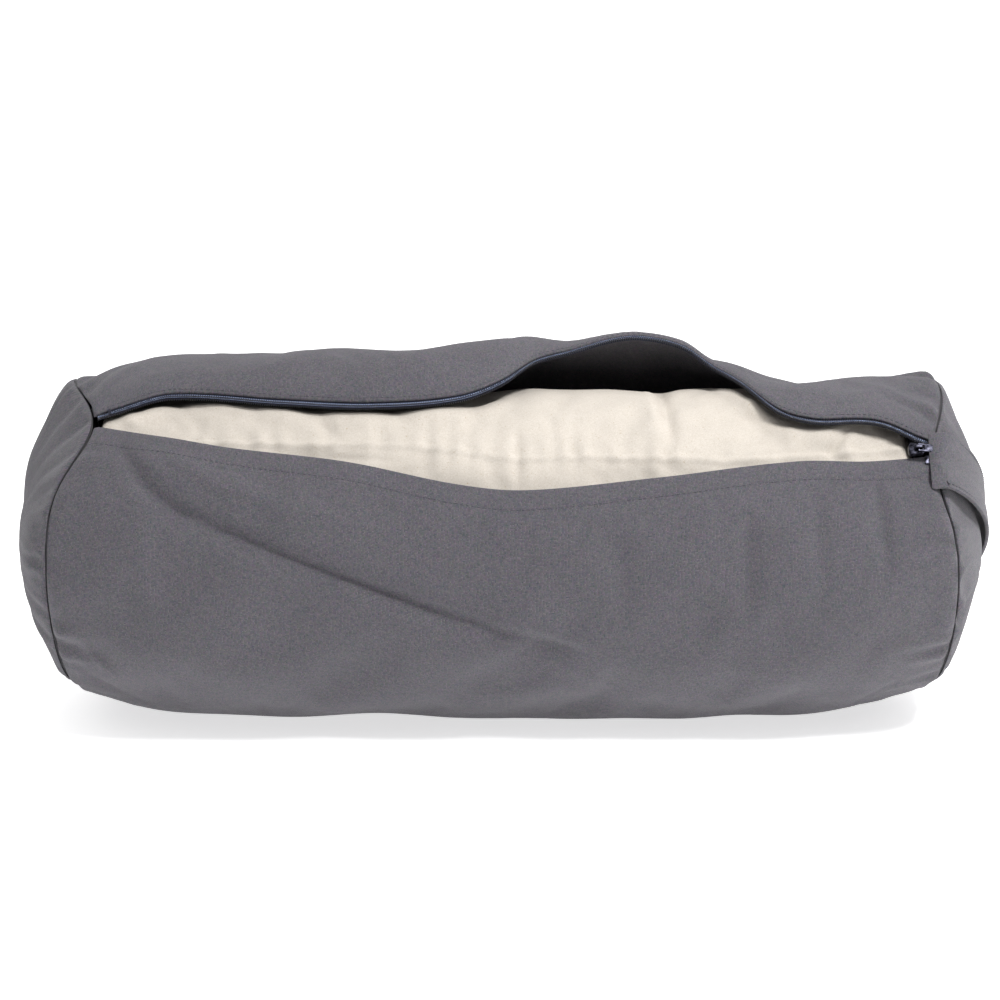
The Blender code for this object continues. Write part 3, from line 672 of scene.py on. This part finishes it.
def resample(points, normals, sideways, step):
    """The same frames at equal steps along their path."""
    lengths = np.concatenate([[0.0], np.cumsum(np.linalg.norm(np.diff(points, axis=0), axis=1))])
    at = np.arange(0.0, lengths[-1], step)
    return [
        np.column_stack([np.interp(at, lengths, values[:, k]) for k in range(3)])
        for values in (points, normals, sideways)
    ]


def add_coil(which, depth):
    """The zip's own monofilament, wound flat."""
    inset = COIL_IN if which == "upper" else COIL_IN + 0.8 * MM
    frames = edge_frames(320, which, inset, depth, ZIP_REACH)
    per_turn = 12
    points, normals, sideways = resample(*frames, COIL_PITCH / per_turn)
    phase = np.arange(len(points)) * 2 * math.pi / per_turn
    flat = np.sign(np.cos(phase)) * np.abs(np.cos(phase)) ** 0.6
    path = (
        points
        + sideways * (COIL_HALF_WIDTH * flat)[:, None]
        + normals * (COIL_HALF_HEIGHT * np.sin(phase))[:, None]
    )
    sides = np.gradient(points, axis=0)
    return add_many(f"zip_coil_{which}_helix", [sweep(path, sides, COIL_WIRE, COIL_WIRE, 6)])


def add_tape(which, start, end, depth, lifted=0.0):
    """A woven tape with slightly rolled edges, from one inset to another, lifted up under its coil."""
    stations = np.linspace(-ZIP_REACH, ZIP_REACH, 220)
    insets = np.linspace(start, end, 9)
    rolled = np.array([0.25, 0, 0, 0, 0, 0, 0, 0, 0.25]) * MM
    rolled = rolled - lifted * np.array([1, 1, 0.8, 0, 0, 0, 0, 0, 0])
    rows, uvs = [], []
    for x in stations:
        section = Outline(x)
        places = insets if which == "lower" else section.length - insets
        row, _ = section.places(places, depth + rolled)
        rows.append(row)
        uvs.append(np.column_stack([np.full_like(insets, x), insets]))
    tape = add_grid(f"zip_tape_{which}_woven", np.array(rows), np.array(uvs), flip=which == "lower")
    return thicken(tape, 0.5 * MM, 1)


def laid_on(piece, frames):
    """The same frames, with each point moved along its normal onto the piece's outer surface."""
    points, normals, sideways = frames
    laid = []
    for point, normal in zip(points, normals):
        start = Vector(point + normal * 6 * MM)
        hit, place, _, _ = piece.ray_cast(start, Vector(-normal), distance=12 * MM)
        laid.append(np.array(place) if hit else point)
    return np.array(laid), normals, sideways


def add_stitch_row(name, frames, stitch=2.6 * MM, gap=0.9 * MM, thread=0.24 * MM):
    """Separate stitches of round thread that dive into the cloth at both ends."""
    points, normals, sideways = resample(*frames, (stitch + gap) / 8)
    shapes = []
    steps = 6
    for first in range(0, len(points) - 8, 8):
        t = np.linspace(0.0, 1.0, steps)
        rise = (np.sin(math.pi * t) ** 0.5 * 0.42 - 0.20) * MM
        here = points[first : first + steps] + normals[first : first + steps] * rise[:, None]
        shapes.append(sweep(here, sideways[first : first + steps], thread, thread, 6))
    return add_many(name, shapes)


# ---------------------------------------------------------------- strap


def panel_crown(side):
    return SEAM_X + 2.4 * MM + BULGE[side]


def strap_radius():
    """Half the strap's span between its two roots."""
    turn = math.radians(STRAP_ANGLE)
    depth, height = HALF_DEPTH * barrel(SEAM_X), HALF_HEIGHT * barrel(SEAM_X)
    return 1.0 / math.hypot(math.sin(turn) / depth, math.cos(turn) / height) + STRAP_STANDOFF


def strap_place(x, radius, lateral):
    turn = math.radians(STRAP_ANGLE)
    y = -radius * math.sin(turn) + lateral * math.cos(turn)
    z = centre(SEAM_X) + radius * math.cos(turn) + lateral * math.sin(turn)
    return Vector((x, y, z))


def strap_frame(turn, lateral):
    """Where the strap's middle layer is at a turn from -90 to 90, and which way is off the bolster."""
    radians = math.radians(turn)
    sine, cosine = math.sin(radians), max(math.cos(radians), 0.0)
    reach, crown = strap_radius(), panel_crown(1) + HAND_GAP
    start = SEAM_X - STRAP_START + STRAP_END_CUT * abs(lateral)
    rise = crown - start
    normal = Vector((cosine ** (2.0 - STRAP_FULLNESS) * reach, STRAP_FULLNESS * abs(sine) * rise))
    normal.normalize()
    place = strap_place(start + rise * cosine**STRAP_FULLNESS, reach * sine, lateral)
    outward = strap_place(normal.x, math.copysign(normal.y, sine), 0.0) - strap_place(0.0, 0.0, 0.0)
    return np.array(place), np.array(outward)


def strap_line(lateral):
    """The strap's centre layer along one lateral place, root to root: points and outward normals."""
    points, normals = [], []
    turn = math.radians(STRAP_ANGLE)
    off = np.array([0.0, -math.sin(turn), math.cos(turn)])
    start = SEAM_X - STRAP_START + STRAP_END_CUT * abs(lateral)
    inside = SEAM_X - STRAP_START - ROOT_LENGTH
    for x in np.linspace(inside, start, 7)[:-1]:
        sunk = 1.6 * MM * (1.0 - (x - inside) / (start - inside)) ** 2
        points.append(np.array(strap_place(x, strap_radius() - sunk, lateral)))
        normals.append(off)
    for t in np.linspace(1.0, -1.0, 121):
        place, outward = strap_frame(90.0 * math.copysign(abs(t) ** 0.6, t), lateral)
        points.append(place)
        normals.append(outward)
    for x in np.linspace(start, inside, 7)[1:]:
        sunk = 1.6 * MM * (1.0 - (x - inside) / (start - inside)) ** 2
        points.append(np.array(strap_place(x, sunk - strap_radius(), lateral)))
        normals.append(-off)
    return np.array(points), np.array(normals)


def add_strap():
    """One length of folded canvas, root to root, with curled edges and a soft lengthwise crease."""
    half = STRAP_WIDTH / 2
    out = np.array([0.2, 0.45, 0.7, 0.88, 0.97, 1.0])  # closer together towards the edges
    laterals = half * np.concatenate([-out[::-1], [0.0], out])
    rows, uvs = [], []
    for lateral in laterals:
        points, normals = strap_line(lateral)
        lengths = np.concatenate([[0.0], np.cumsum(np.linalg.norm(np.diff(points, axis=0), axis=1))])
        share = lateral / half
        crease = -0.7 * MM * math.exp(-(((share - 0.1) / 0.16) ** 2))
        curl = -0.9 * MM * abs(share) ** 3
        wave = 0.35 * MM * np.sin(lengths / 0.021 + share * 2.0)
        rows.append(points + normals * (crease + curl + wave)[:, None])
        uvs.append(np.column_stack([lengths, np.full_like(lengths, lateral)]))
    strap = add_grid("handle_strap_canvas", np.array(rows), np.array(uvs), flip=False)
    return thicken(strap, STRAP_THICKNESS, 1)


def strap_stitch_frames(lateral):
    points, normals = strap_line(lateral)
    turn = math.radians(STRAP_ANGLE)
    sideways = np.tile([0.0, math.cos(turn), math.sin(turn)], (len(points), 1))
    points = points + normals * (STRAP_THICKNESS / 2 - 0.65 * MM)
    return points[8:-8], normals[8:-8], sideways[8:-8]


# ---------------------------------------------------------------- cushion


def cushion_points(x, angles, inset, share=1.0, at_x=None):
    depth = (HALF_DEPTH * barrel(x) - inset) * share
    height = (HALF_HEIGHT * barrel(x) - inset) * share
    y = -depth * np.sin(angles)
    z = np.maximum(centre(x) + height * np.cos(angles), CUSHION_FLOOR + inset - CUSHION_INSET)
    return np.column_stack([np.full_like(y, x if at_x is None else at_x), y, z])


def add_cushion():
    """The casing as one closed form, remeshed evenly for the simulation."""
    angles = np.linspace(0, 2 * math.pi, 120, endpoint=False)
    inset = CUSHION_INSET + CUSHION_START_INSET
    loops = [cushion_points(x, angles, inset) for x in np.linspace(-1, 1, 81) * CUSHION_HALF_LENGTH]
    for share in (0.93, 0.80, 0.6, 0.4, 0.2, 0.05):
        for side in (-1, 1):
            at_x = side * (CUSHION_HALF_LENGTH + (CUSHION_BULGE - 4 * MM) * (1.0 - share**2))
            loop = cushion_points(side * CUSHION_HALF_LENGTH, angles, inset, share, at_x)
            loops = [loop] + loops if side < 0 else loops + [loop]
    faces = loop_faces(len(loops), len(angles)) + end_faces(len(loops), len(angles))
    cushion = new_object("inner_cushion_casing", np.vstack(loops), faces)
    remesh = cushion.modifiers.new("remesh", "REMESH")
    remesh.mode = "VOXEL"
    remesh.voxel_size = CUSHION_VOXEL
    remesh.use_smooth_shade = True
    bake_modifiers(cushion)
    if signed_volume(cushion.data) < 0:
        cushion.data.flip_normals()
    return cushion


def signed_volume(mesh):
    mesh.calc_loop_triangles()
    total = 0.0
    for triangle in mesh.loop_triangles:
        a, b, c = (mesh.vertices[index].co for index in triangle.vertices)
        total += a.dot(b.cross(c))
    return total


def cushion_hold(cushion):
    """The lengthwise seam and the end seams hold their place; the casing swells between them."""
    place = coordinates(cushion)
    angle = section_angle(place[:, 0], place[:, 1], place[:, 2])
    seam = np.interp(place[:, 0], [x * MM for x, _ in CASING_SEAM], [turn for _, turn in CASING_SEAM])
    from_seam = np.abs(angle - seam) * math.radians(1.0) * MEAN_RADIUS
    from_end = np.abs(np.abs(place[:, 0]) - CUSHION_HALF_LENGTH)
    hold = np.maximum(1.0 - smoothstep(from_seam / 0.006), 1.0 - smoothstep(from_end / 0.008))
    return np.maximum(hold * 0.8, 0.06)


def finish_cushion(cushion):
    """After the simulation: the folds and the felled seam, kept clear of the cover."""
    place = coordinates(cushion)
    angle = section_angle(place[:, 0], place[:, 1], place[:, 2])
    scale = barrel(place[:, 0])
    seam = np.interp(place[:, 0], [x * MM for x, _ in CASING_SEAM], [turn for _, turn in CASING_SEAM])
    across = (angle - seam) * math.radians(1.0) * MEAN_RADIUS
    step = CASING_SEAM_HEIGHT * smoothstep((across + CASING_SEAM_HALF_WIDTH) / (1.2 * MM))
    step *= smoothstep((5.0 * MM - across) / (2.4 * MM))
    nearby = np.exp(-((across / 0.03) ** 2))
    gathers = CASING_GATHERS * puckers(44, place[:, 0], np.abs(across), 0.014)
    uneven = CASING_RIPPLE * ripple(61, place[:, 0], np.radians(angle) * MEAN_RADIUS, 0.05, 0.15)
    rise = step + gathers * nearby + uneven - fold_depth(CASING_FOLDS, place[:, 0], angle)
    middle = np.column_stack([place[:, 0], np.zeros(len(place)), centre(place[:, 0])])
    out = place - middle
    radius = np.linalg.norm(out, axis=1)
    stations = np.linspace(-0.9, 0.9, 91)
    rows = np.array([read_curve(UPPER_EDGE, share) for share in stations])
    zip_turn = np.interp(place[:, 0] / SEAM_X, stations, rows[:, 0])
    zip_lift = np.interp(place[:, 0] / SEAM_X, stations, rows[:, 1])
    pressed = np.exp(-(((angle - zip_turn) / PRESS_ANGLE) ** 2)) * smoothstep(1.0 - zip_lift / (6 * MM))
    pressed *= smoothstep((0.235 - place[:, 0]) / 0.03)
    limit = CUSHION_LIMIT - PRESS_RISE * pressed
    rise = rise + 1.6 * PRESS_RISE * pressed
    depth, height = HALF_DEPTH * scale - limit, HALF_HEIGHT * scale - limit
    direction = out / np.maximum(radius, 1e-6)[:, None]
    largest = 1.0 / np.hypot(direction[:, 1] / depth, direction[:, 2] / height)
    on_barrel = np.abs(place[:, 0]) < CUSHION_HALF_LENGTH - 2 * MM
    wanted = np.where(on_barrel, radius + CUSHION_START_INSET * 0.6 + rise, radius)
    wanted = np.minimum(wanted, largest)
    moved = middle + direction * wanted[:, None]
    reach = CUSHION_HALF_LENGTH + CUSHION_BULGE
    moved[:, 0] = np.clip(moved[:, 0], -reach, reach)
    moved[:, 2] = np.maximum(moved[:, 2], CUSHION_FLOOR)
    set_coordinates(cushion, moved)


# ---------------------------------------------------------------- slider


def rounded_copy(node, name, width):
    """The CAD piece's own shape with worn, rounded edges."""
    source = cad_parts[node]
    mesh = source.data.copy()
    mesh.materials.clear()
    piece = bpy.data.objects.new(name, mesh)
    bpy.context.scene.collection.objects.link(piece)
    weld = piece.modifiers.new("weld", "WELD")
    weld.merge_threshold = 0.01 * MM
    planar = piece.modifiers.new("planar", "DECIMATE")
    planar.decimate_type = "DISSOLVE"
    planar.angle_limit = math.radians(2.0)
    bevel = piece.modifiers.new("bevel", "BEVEL")
    bevel.width = width
    bevel.segments = 3
    bevel.limit_method = "ANGLE"
    bevel.angle_limit = math.radians(28.0)
    bake_modifiers(piece)
    piece.data.set_sharp_from_angle(angle=math.radians(35.0))
    return piece


# ---------------------------------------------------------------- materials


class Nodes:
    """A short way to write a material's nodes."""

    def __init__(self, name):
        self.material = bpy.data.materials.new(name)
        self.material.use_nodes = True
        self.tree = self.material.node_tree
        self.shader = self.tree.nodes["Principled BSDF"]

    def add(self, kind, inputs=None, **settings):
        node = self.tree.nodes.new(kind)
        for key, value in settings.items():
            setattr(node, key, value)
        for key, value in (inputs or {}).items():
            self.put(node.inputs[key], value)
        return node

    def put(self, socket, value):
        if isinstance(value, bpy.types.NodeSocket):
            self.tree.links.new(value, socket)
        else:
            socket.default_value = value

    def math(self, operation, *values):
        node = self.add("ShaderNodeMath", operation=operation)
        for socket, value in zip(node.inputs, values):
            self.put(socket, value)
        return node.outputs[0]

    def times(self, a, b):
        return self.math("MULTIPLY", a, b)

    def plus(self, a, b):
        return self.math("ADD", a, b)

    def minus(self, a, b):
        return self.math("SUBTRACT", a, b)

    def mix(self, share, low, high):
        node = self.add("ShaderNodeMix", data_type="RGBA")
        self.put(node.inputs[0], share)
        self.put(node.inputs[6], low)
        self.put(node.inputs[7], high)
        return node.outputs[2]

    def mix_number(self, share, low, high):
        node = self.add("ShaderNodeMix", data_type="FLOAT")
        self.put(node.inputs[0], share)
        self.put(node.inputs[2], low)
        self.put(node.inputs[3], high)
        return node.outputs[0]

    def vector(self, x=0.0, y=0.0, z=0.0):
        return self.add("ShaderNodeCombineXYZ", {"X": x, "Y": y, "Z": z}).outputs[0]

    def noise(self, vector, scale, detail=2.0, roughness=0.5):
        return self.add(
            "ShaderNodeTexNoise",
            {"Vector": vector, "Scale": scale, "Detail": detail, "Roughness": roughness},
        )

    def uv_place(self):
        uv = self.add("ShaderNodeUVMap", uv_map="UVMap")
        return self.add("ShaderNodeSeparateXYZ", {"Vector": uv.outputs[0]})

    def stretch(self, value, low, high):
        node = self.add("ShaderNodeMapRange", {"Value": value, "From Min": low, "From Max": high})
        return node.outputs[0]

    def surface(self, colour, height, distance, roughness, **sockets):
        bump = self.add("ShaderNodeBump", {"Height": height, "Distance": distance, "Strength": 1.0})
        self.put(self.shader.inputs["Base Color"], colour)
        self.put(self.shader.inputs["Normal"], bump.outputs[0])
        self.put(self.shader.inputs["Roughness"], roughness)
        for key, value in sockets.items():
            self.shader.inputs[key.replace("_", " ")].default_value = value
        return self.material


def colour(red, green, blue):
    """A display colour from 0 to 255, as the linear values that a shader takes."""
    linear = [((v / 255 + 0.055) / 1.055) ** 2.4 if v > 10 else v / 3294.6 for v in (red, green, blue)]
    return (*linear, 1.0)


def woven(name, dark, light, tint, pitch, bump, on_barrel=False, contrast=1.0, flecks=None):
    """Plain weave with heathered yarns, laid out by UVs in metres or round the barrel's own axis."""
    n = Nodes(name)
    if on_barrel:
        place = n.add("ShaderNodeSeparateXYZ", {"Vector": n.add("ShaderNodeTexCoord").outputs["Object"]})
        turn = n.math("ARCTAN2", place.outputs["Y"], n.minus(place.outputs["Z"], CENTRE_Z))
        u, v = place.outputs["X"], n.times(turn, MEAN_RADIUS)
    else:
        place = n.uv_place()
        u, v = place.outputs["X"], place.outputs["Y"]
    u, v = n.math("DIVIDE", u, pitch), n.math("DIVIDE", v, pitch)
    warp, weft = n.math("FLOOR", u), n.math("FLOOR", v)
    over = n.math("PINGPONG", n.plus(warp, weft), 1.0)
    off_warp = n.minus(n.math("FRACT", u), 0.5)
    off_weft = n.minus(n.math("FRACT", v), 0.5)
    round_warp = n.minus(1.0, n.times(n.times(off_warp, off_warp), 3.0))
    round_weft = n.minus(1.0, n.times(n.times(off_weft, off_weft), 3.0))
    height = n.times(round_warp, round_weft)
    warp_yarn = n.noise(n.vector(n.times(warp, 3.71), n.times(v, 0.33), 0.0), 1.0)
    weft_yarn = n.noise(n.vector(n.times(u, 0.33), n.times(weft, 3.71), 7.0), 1.0)
    yarn = n.mix_number(over, warp_yarn.outputs[0], weft_yarn.outputs[0])
    hue = n.mix(over, warp_yarn.outputs[1], weft_yarn.outputs[1])
    heather = n.stretch(yarn, 0.5 - 0.24 / contrast, 0.5 + 0.24 / contrast)
    cloth = n.mix(heather, dark, light)
    cloth = n.mix(tint, cloth, n.mix(0.5, hue, cloth))
    mottle = n.noise(n.vector(u, v, 0.0), 0.012 / 0.5, 3.0)
    wear = n.mix_number(mottle.outputs[0], 0.90, 1.10)
    faded = n.add("ShaderNodeHueSaturation", {"Color": cloth, "Value": wear})
    # painted shade: the weave's low places between the yarns are darkened towards the dark yarn colour
    groove_shade = n.stretch(height, 0.1, 0.8)
    cloth = n.mix(n.times(n.minus(1.0, groove_shade), 0.35), faded.outputs[0], dark)
    if flecks:
        fleck_size, fleck_colour = flecks
        spots = n.noise(n.vector(u, v, 3.0), fleck_size, 1.0, 0.4)
        cloth = n.mix(n.stretch(spots.outputs[0], 0.72, 0.78), cloth, fleck_colour)
    fuzz = n.noise(n.vector(u, v, 11.0), 1.7, 2.0)
    relief = n.plus(height, n.times(fuzz.outputs[0], 0.5))
    return n.surface(
        cloth, relief, bump, n.mix_number(yarn, 0.82, 0.96), Sheen_Weight=0.12, Sheen_Roughness=0.5
    )


def spun(name, dark, light):
    """Twisted sewing thread or seam yarn."""
    n = Nodes(name)
    place = n.add("ShaderNodeTexCoord").outputs["Object"]
    twist = n.noise(place, 2600.0, 2.0)
    along = n.noise(place, 240.0, 2.0)
    tone = n.mix(n.stretch(along.outputs[0], 0.3, 0.7), dark, light)
    tone = n.mix(n.times(twist.outputs[0], 0.35), tone, dark)
    return n.surface(tone, twist.outputs[0], 0.12 * MM, 0.72, Sheen_Weight=0.2)


def tape_cloth(name, dark, light, stitch):
    """Zip tape: fine herringbone ribs, and two rows of lighter locking stitches beside the coil."""
    n = Nodes(name)
    place = n.uv_place()
    u, v = place.outputs["X"], place.outputs["Y"]
    ribs = n.math("SINE", n.times(v, 2 * math.pi / (0.55 * MM)))
    leaning = n.plus(u, n.times(v, 0.6))
    slant = n.math("SINE", n.times(leaning, 2 * math.pi / (0.5 * MM)))
    height = n.plus(n.times(ribs, 0.5), n.times(slant, 0.5))
    worn = n.noise(n.vector(u, v, 0.0), 700.0, 3.0)
    # partly painted shade: the tone follows the ribs' height and is darker between the ribs; the noise
    # adds random tone on top
    tone = n.mix(n.stretch(n.plus(height, worn.outputs[0]), -0.6, 1.5), dark, light)
    dash = n.math("LESS_THAN", n.math("FRACT", n.math("DIVIDE", u, COIL_PITCH)), 0.55)
    rows = n.math("LESS_THAN", n.math("ABSOLUTE", n.minus(v, 4.1 * MM)), 0.32 * MM)
    tone = n.mix(n.times(dash, rows), tone, stitch)
    return n.surface(tone, height, 0.1 * MM, 0.78, Sheen_Weight=0.1)


def nylon(name, dark, light):
    """Glossy monofilament with a faint drawn grain."""
    n = Nodes(name)
    place = n.add("ShaderNodeTexCoord").outputs["Object"]
    grain = n.noise(place, 1800.0, 2.0)
    scuff = n.noise(place, 90.0, 3.0)
    tone = n.mix(n.stretch(scuff.outputs[0], 0.35, 0.7), dark, light)
    rough = n.mix_number(grain.outputs[0], 0.22, 0.42)
    return n.surface(tone, grain.outputs[0], 0.03 * MM, rough, Specular_IOR_Level=0.6)


def gunmetal(name):
    """Dark plated zinc, polished where it is rubbed."""
    n = Nodes(name)
    place = n.add("ShaderNodeTexCoord").outputs["Object"]
    brushed = n.noise(place, 3200.0, 3.0)
    worn = n.noise(place, 380.0, 4.0, 0.6)
    edges = n.add("ShaderNodeNewGeometry").outputs["Pointiness"]
    rubbed = n.times(n.stretch(edges, 0.50, 0.58), n.stretch(worn.outputs[0], 0.35, 0.6))
    tone = n.mix(n.stretch(worn.outputs[0], 0.3, 0.7), colour(14, 14, 18), colour(30, 30, 37))
    tone = n.mix(rubbed, tone, colour(96, 96, 110))
    rough = n.mix_number(brushed.outputs[0], 0.28, 0.46)
    return n.surface(tone, brushed.outputs[0], 0.02 * MM, rough, Metallic=1.0)


def floor_paint():
    n = Nodes("floor_paint")
    place = n.add("ShaderNodeTexCoord").outputs["Object"]
    grain = n.noise(place, 60.0, 2.0)
    tone = n.mix(grain.outputs[0], (0.93, 0.93, 0.93, 1.0), (0.95, 0.95, 0.95, 1.0))
    n.shader.inputs["Emission Color"].default_value = (1.0, 1.0, 1.0, 1.0)
    n.shader.inputs["Emission Strength"].default_value = FLOOR_GLOW
    return n.surface(tone, grain.outputs[0], 0.01 * MM, 0.9)


def finish_as(piece, material, slot, body, *nodes):
    """A piece's material, its slot (not used), the body that it rides on and the CAD nodes that it stands
    for.
    """
    piece.data.materials.clear()
    piece.data.materials.append(material)
    if body:
        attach(piece, body)
    if nodes:
        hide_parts(*nodes)
    return piece


# ---------------------------------------------------------------- scene


def aim(thing, target):
    direction = Vector(target) - thing.location
    thing.rotation_euler = direction.to_track_quat("-Z", "Y").to_euler()


def add_area_light(name, place, target, size, power, tone=(1.0, 1.0, 1.0)):
    data = bpy.data.lights.new(name, "AREA")
    data.shape = "DISK"
    data.size = size
    data.energy = power
    data.color = tone
    light = bpy.data.objects.new(name, data)
    bpy.context.scene.collection.objects.link(light)
    light.location = place
    aim(light, target)


def add_studio():
    scene = bpy.context.scene
    scene.view_settings.view_transform = "Standard"
    world = bpy.data.worlds.new("studio")
    world.use_nodes = True
    tree = world.node_tree
    direction = tree.nodes.new("ShaderNodeTexCoord")
    parts = tree.nodes.new("ShaderNodeSeparateXYZ")
    tree.links.new(direction.outputs["Generated"], parts.inputs[0])
    overhead = tree.nodes.new("ShaderNodeMath")
    overhead.operation = "MULTIPLY_ADD"
    overhead.inputs[1].default_value = 0.7
    tree.links.new(parts.outputs["Z"], overhead.inputs[0])
    tree.links.new(parts.outputs["Y"], overhead.inputs[2])
    frontness = tree.nodes.new("ShaderNodeMapRange")
    frontness.interpolation_type = "SMOOTHSTEP"
    frontness.inputs["From Min"].default_value = -0.25
    frontness.inputs["From Max"].default_value = 0.55
    frontness.inputs["To Min"].default_value = FRONT_LEVEL
    frontness.inputs["To Max"].default_value = 1.06
    tree.links.new(overhead.outputs[0], frontness.inputs["Value"])
    tree.links.new(frontness.outputs[0], tree.nodes["Background"].inputs["Strength"])
    tree.nodes["Background"].inputs["Color"].default_value = (1.0, 1.0, 1.0, 1.0)
    scene.world = world
    middle = (0.0, 0.0, CENTRE_Z)
    add_area_light("key", KEY_PLACE, middle, KEY_SIZE, KEY_POWER)
    corners = [(x * FLOOR_HALF, y * FLOOR_HALF, 0) for x, y in ((-1, -1), (1, -1), (1, 1), (-1, 1))]
    floor = new_object("floor", corners, [(0, 1, 2, 3)])
    floor.location.z = -0.3 * MM
    floor.data.materials.append(floor_paint())


def add_camera():
    data = bpy.data.cameras.new("camera")
    camera = bpy.data.objects.new("camera", data)
    bpy.context.scene.collection.objects.link(camera)
    elevation, distance = math.radians(CAMERA_ELEVATION), CAMERA_DISTANCE
    camera.location = (
        0.0,
        -distance * math.cos(elevation),
        CENTRE_Z + distance * math.sin(elevation),
    )
    aim(camera, (0.0, 0.0, CENTRE_Z))
    data.lens = CAMERA_LENS
    data.sensor_width = 36.0
    data.shift_x, data.shift_y = CAMERA_SHIFT
    bpy.context.scene.camera = camera


# ---------------------------------------------------------------- the bolster

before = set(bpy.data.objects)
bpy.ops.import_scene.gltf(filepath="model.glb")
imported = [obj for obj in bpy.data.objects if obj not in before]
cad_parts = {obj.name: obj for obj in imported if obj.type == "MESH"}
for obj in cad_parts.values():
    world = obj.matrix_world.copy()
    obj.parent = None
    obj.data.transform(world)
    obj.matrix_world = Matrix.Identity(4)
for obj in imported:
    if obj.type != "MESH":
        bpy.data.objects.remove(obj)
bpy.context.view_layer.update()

canvas = woven("canvas", colour(42, 39, 46), colour(90, 86, 96), 0.16, 0.86 * MM, 0.20 * MM)
cotton = woven(
    "cotton",
    colour(188, 178, 165),
    colour(214, 208, 200),
    0.03,
    0.5 * MM,
    0.08 * MM,
    on_barrel=True,
    flecks=(0.45, colour(176, 158, 132)),
)
thread_cloth = spun("thread", colour(58, 57, 66), colour(84, 82, 92))
# painted shade: the seam yarn is darker than the canvas, so the end seams' valleys read as dark lines
painted_shade_seam = spun("seam_thread_and_painted_shade", colour(26, 25, 29), colour(44, 42, 48))
tape = tape_cloth("tape", colour(20, 22, 36), colour(44, 48, 70), colour(168, 184, 222))
coil_thread = spun("coil_thread", colour(84, 98, 134), colour(142, 156, 190))
coil = nylon("coil", colour(11, 12, 21), colour(26, 29, 47))
metal = gunmetal("gunmetal")

wrap, wrap_hold = add_wrap()
panels = {label: add_panel(side, label) for side, label in ((-1, "left"), (1, "right"))}
cushion = add_cushion()

add_cloth(wrap, wrap_hold, slack=0.012)
for panel, hold in panels.values():
    add_cloth(panel, hold, slack=0.015)
add_cloth(cushion, cushion_hold(cushion), slack=0.012, pressure=2.0)
capped = [(panel, PANEL_CAP) for panel, _ in panels.values()]
run_cloth([(wrap, WRAP_CAP), *capped, (cushion, CUSHION_CAP)])
settled = coordinates(wrap)
settled[:, 2] = np.maximum(settled[:, 2], CLOTH / 2)
set_coordinates(wrap, settled)

smooth = cushion.modifiers.new("smooth", "SUBSURF")
smooth.levels = smooth.render_levels = 1
bake_modifiers(cushion)
finish_cushion(cushion)
finish_as(
    cushion,
    cotton,
    "cushion_cotton",
    "cushion_and_cover",
    "inner_casing",
    "inner_end_left",
    "inner_end_right",
    "inner_long_seam",
    "filling_core",
)

thicken(wrap, CLOTH)
finish_as(wrap, canvas, "cover_canvas", "cushion_and_cover", "cover_wrap")

for side, label in ((-1, "left"), (1, "right")):
    panel, _ = panels[label]
    thicken(panel, CLOTH)
    finish_as(panel, canvas, "cover_canvas", "cushion_and_cover", f"cover_end_{label}")
    ring = add_seam_ring(side, label)
    finish_as(ring, painted_shade_seam, "seam_allowance", "cushion_and_cover", f"end_seam_{label}")

for which, depth in (("upper", 0.35 * MM), ("lower", 2.9 * MM)):
    helix = add_coil(which, depth)
    finish_as(helix, coil, "zip_coil", "cushion_and_cover", f"zip_coil_{which}")
coil_top = edge_frames(320, "upper", COIL_IN, -0.75 * MM, ZIP_REACH)
row = add_stitch_row(
    "zip_coil_upper_stitches", coil_top, stitch=0.6 * MM, gap=0.9 * MM, thread=0.18 * MM
)
finish_as(row, coil_thread, "zip_tape", "cushion_and_cover")
ribbon = add_tape("upper", 1.3 * MM, 1.3 * MM + TAPE_WIDTH, 2.5 * MM, lifted=0.7 * MM)
finish_as(ribbon, tape, "zip_tape", "cushion_and_cover", "zip_tape_upper")
ribbon = add_tape("lower", 2.6 * MM, 2.6 * MM + TAPE_WIDTH, 4.4 * MM)
finish_as(ribbon, tape, "zip_tape", "cushion_and_cover", "zip_tape_lower")

stitch_reach = SEAM_X - 6.0 * MM
lower_frames = laid_on(wrap, edge_frames(400, "lower", STITCH_INSET, 0.0, stitch_reach))
row = add_stitch_row("topstitch_lower_thread", lower_frames)
finish_as(row, thread_cloth, "sewing_thread", "cushion_and_cover", "topstitch_lower")
upper_frames = laid_on(wrap, edge_frames(400, "upper", WELT_STITCH, 0.0, stitch_reach))
row = add_stitch_row("topstitch_upper_thread", upper_frames)
finish_as(row, thread_cloth, "sewing_thread", "cushion_and_cover", "topstitch_upper")

strap = add_strap()
finish_as(
    strap, canvas, "cover_canvas", None, "handle_strap", "handle_root_front", "handle_root_back"
)
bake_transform(strap)
for way, label in ((-1, "lower"), (1, "upper")):
    row = add_stitch_row(
        f"handle_stitch_{label}_thread",
        strap_stitch_frames(way * (STRAP_WIDTH / 2 - 2.5 * MM)),
        stitch=2.4 * MM,
    )
    finish_as(row, thread_cloth, "sewing_thread", None, f"handle_stitch_{label}")
    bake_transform(row)

SMALL_METAL = (
    ("zip_slider_body", "zip_slider", 0.7 * MM),
    ("zip_slider_bridge", "zip_slider", 0.25 * MM),
    ("zip_pull_tab", "pull_tab", 0.25 * MM),
    ("zip_top_stop_upper", "cushion_and_cover", 0.2 * MM),
    ("zip_top_stop_lower", "cushion_and_cover", 0.2 * MM),
    ("zip_bottom_stop", "cushion_and_cover", 0.2 * MM),
)
for node, body, edge in SMALL_METAL:
    finish_as(rounded_copy(node, f"{node}_metal", edge), metal, "zip_metal", body, node)

add_studio()
add_camera()
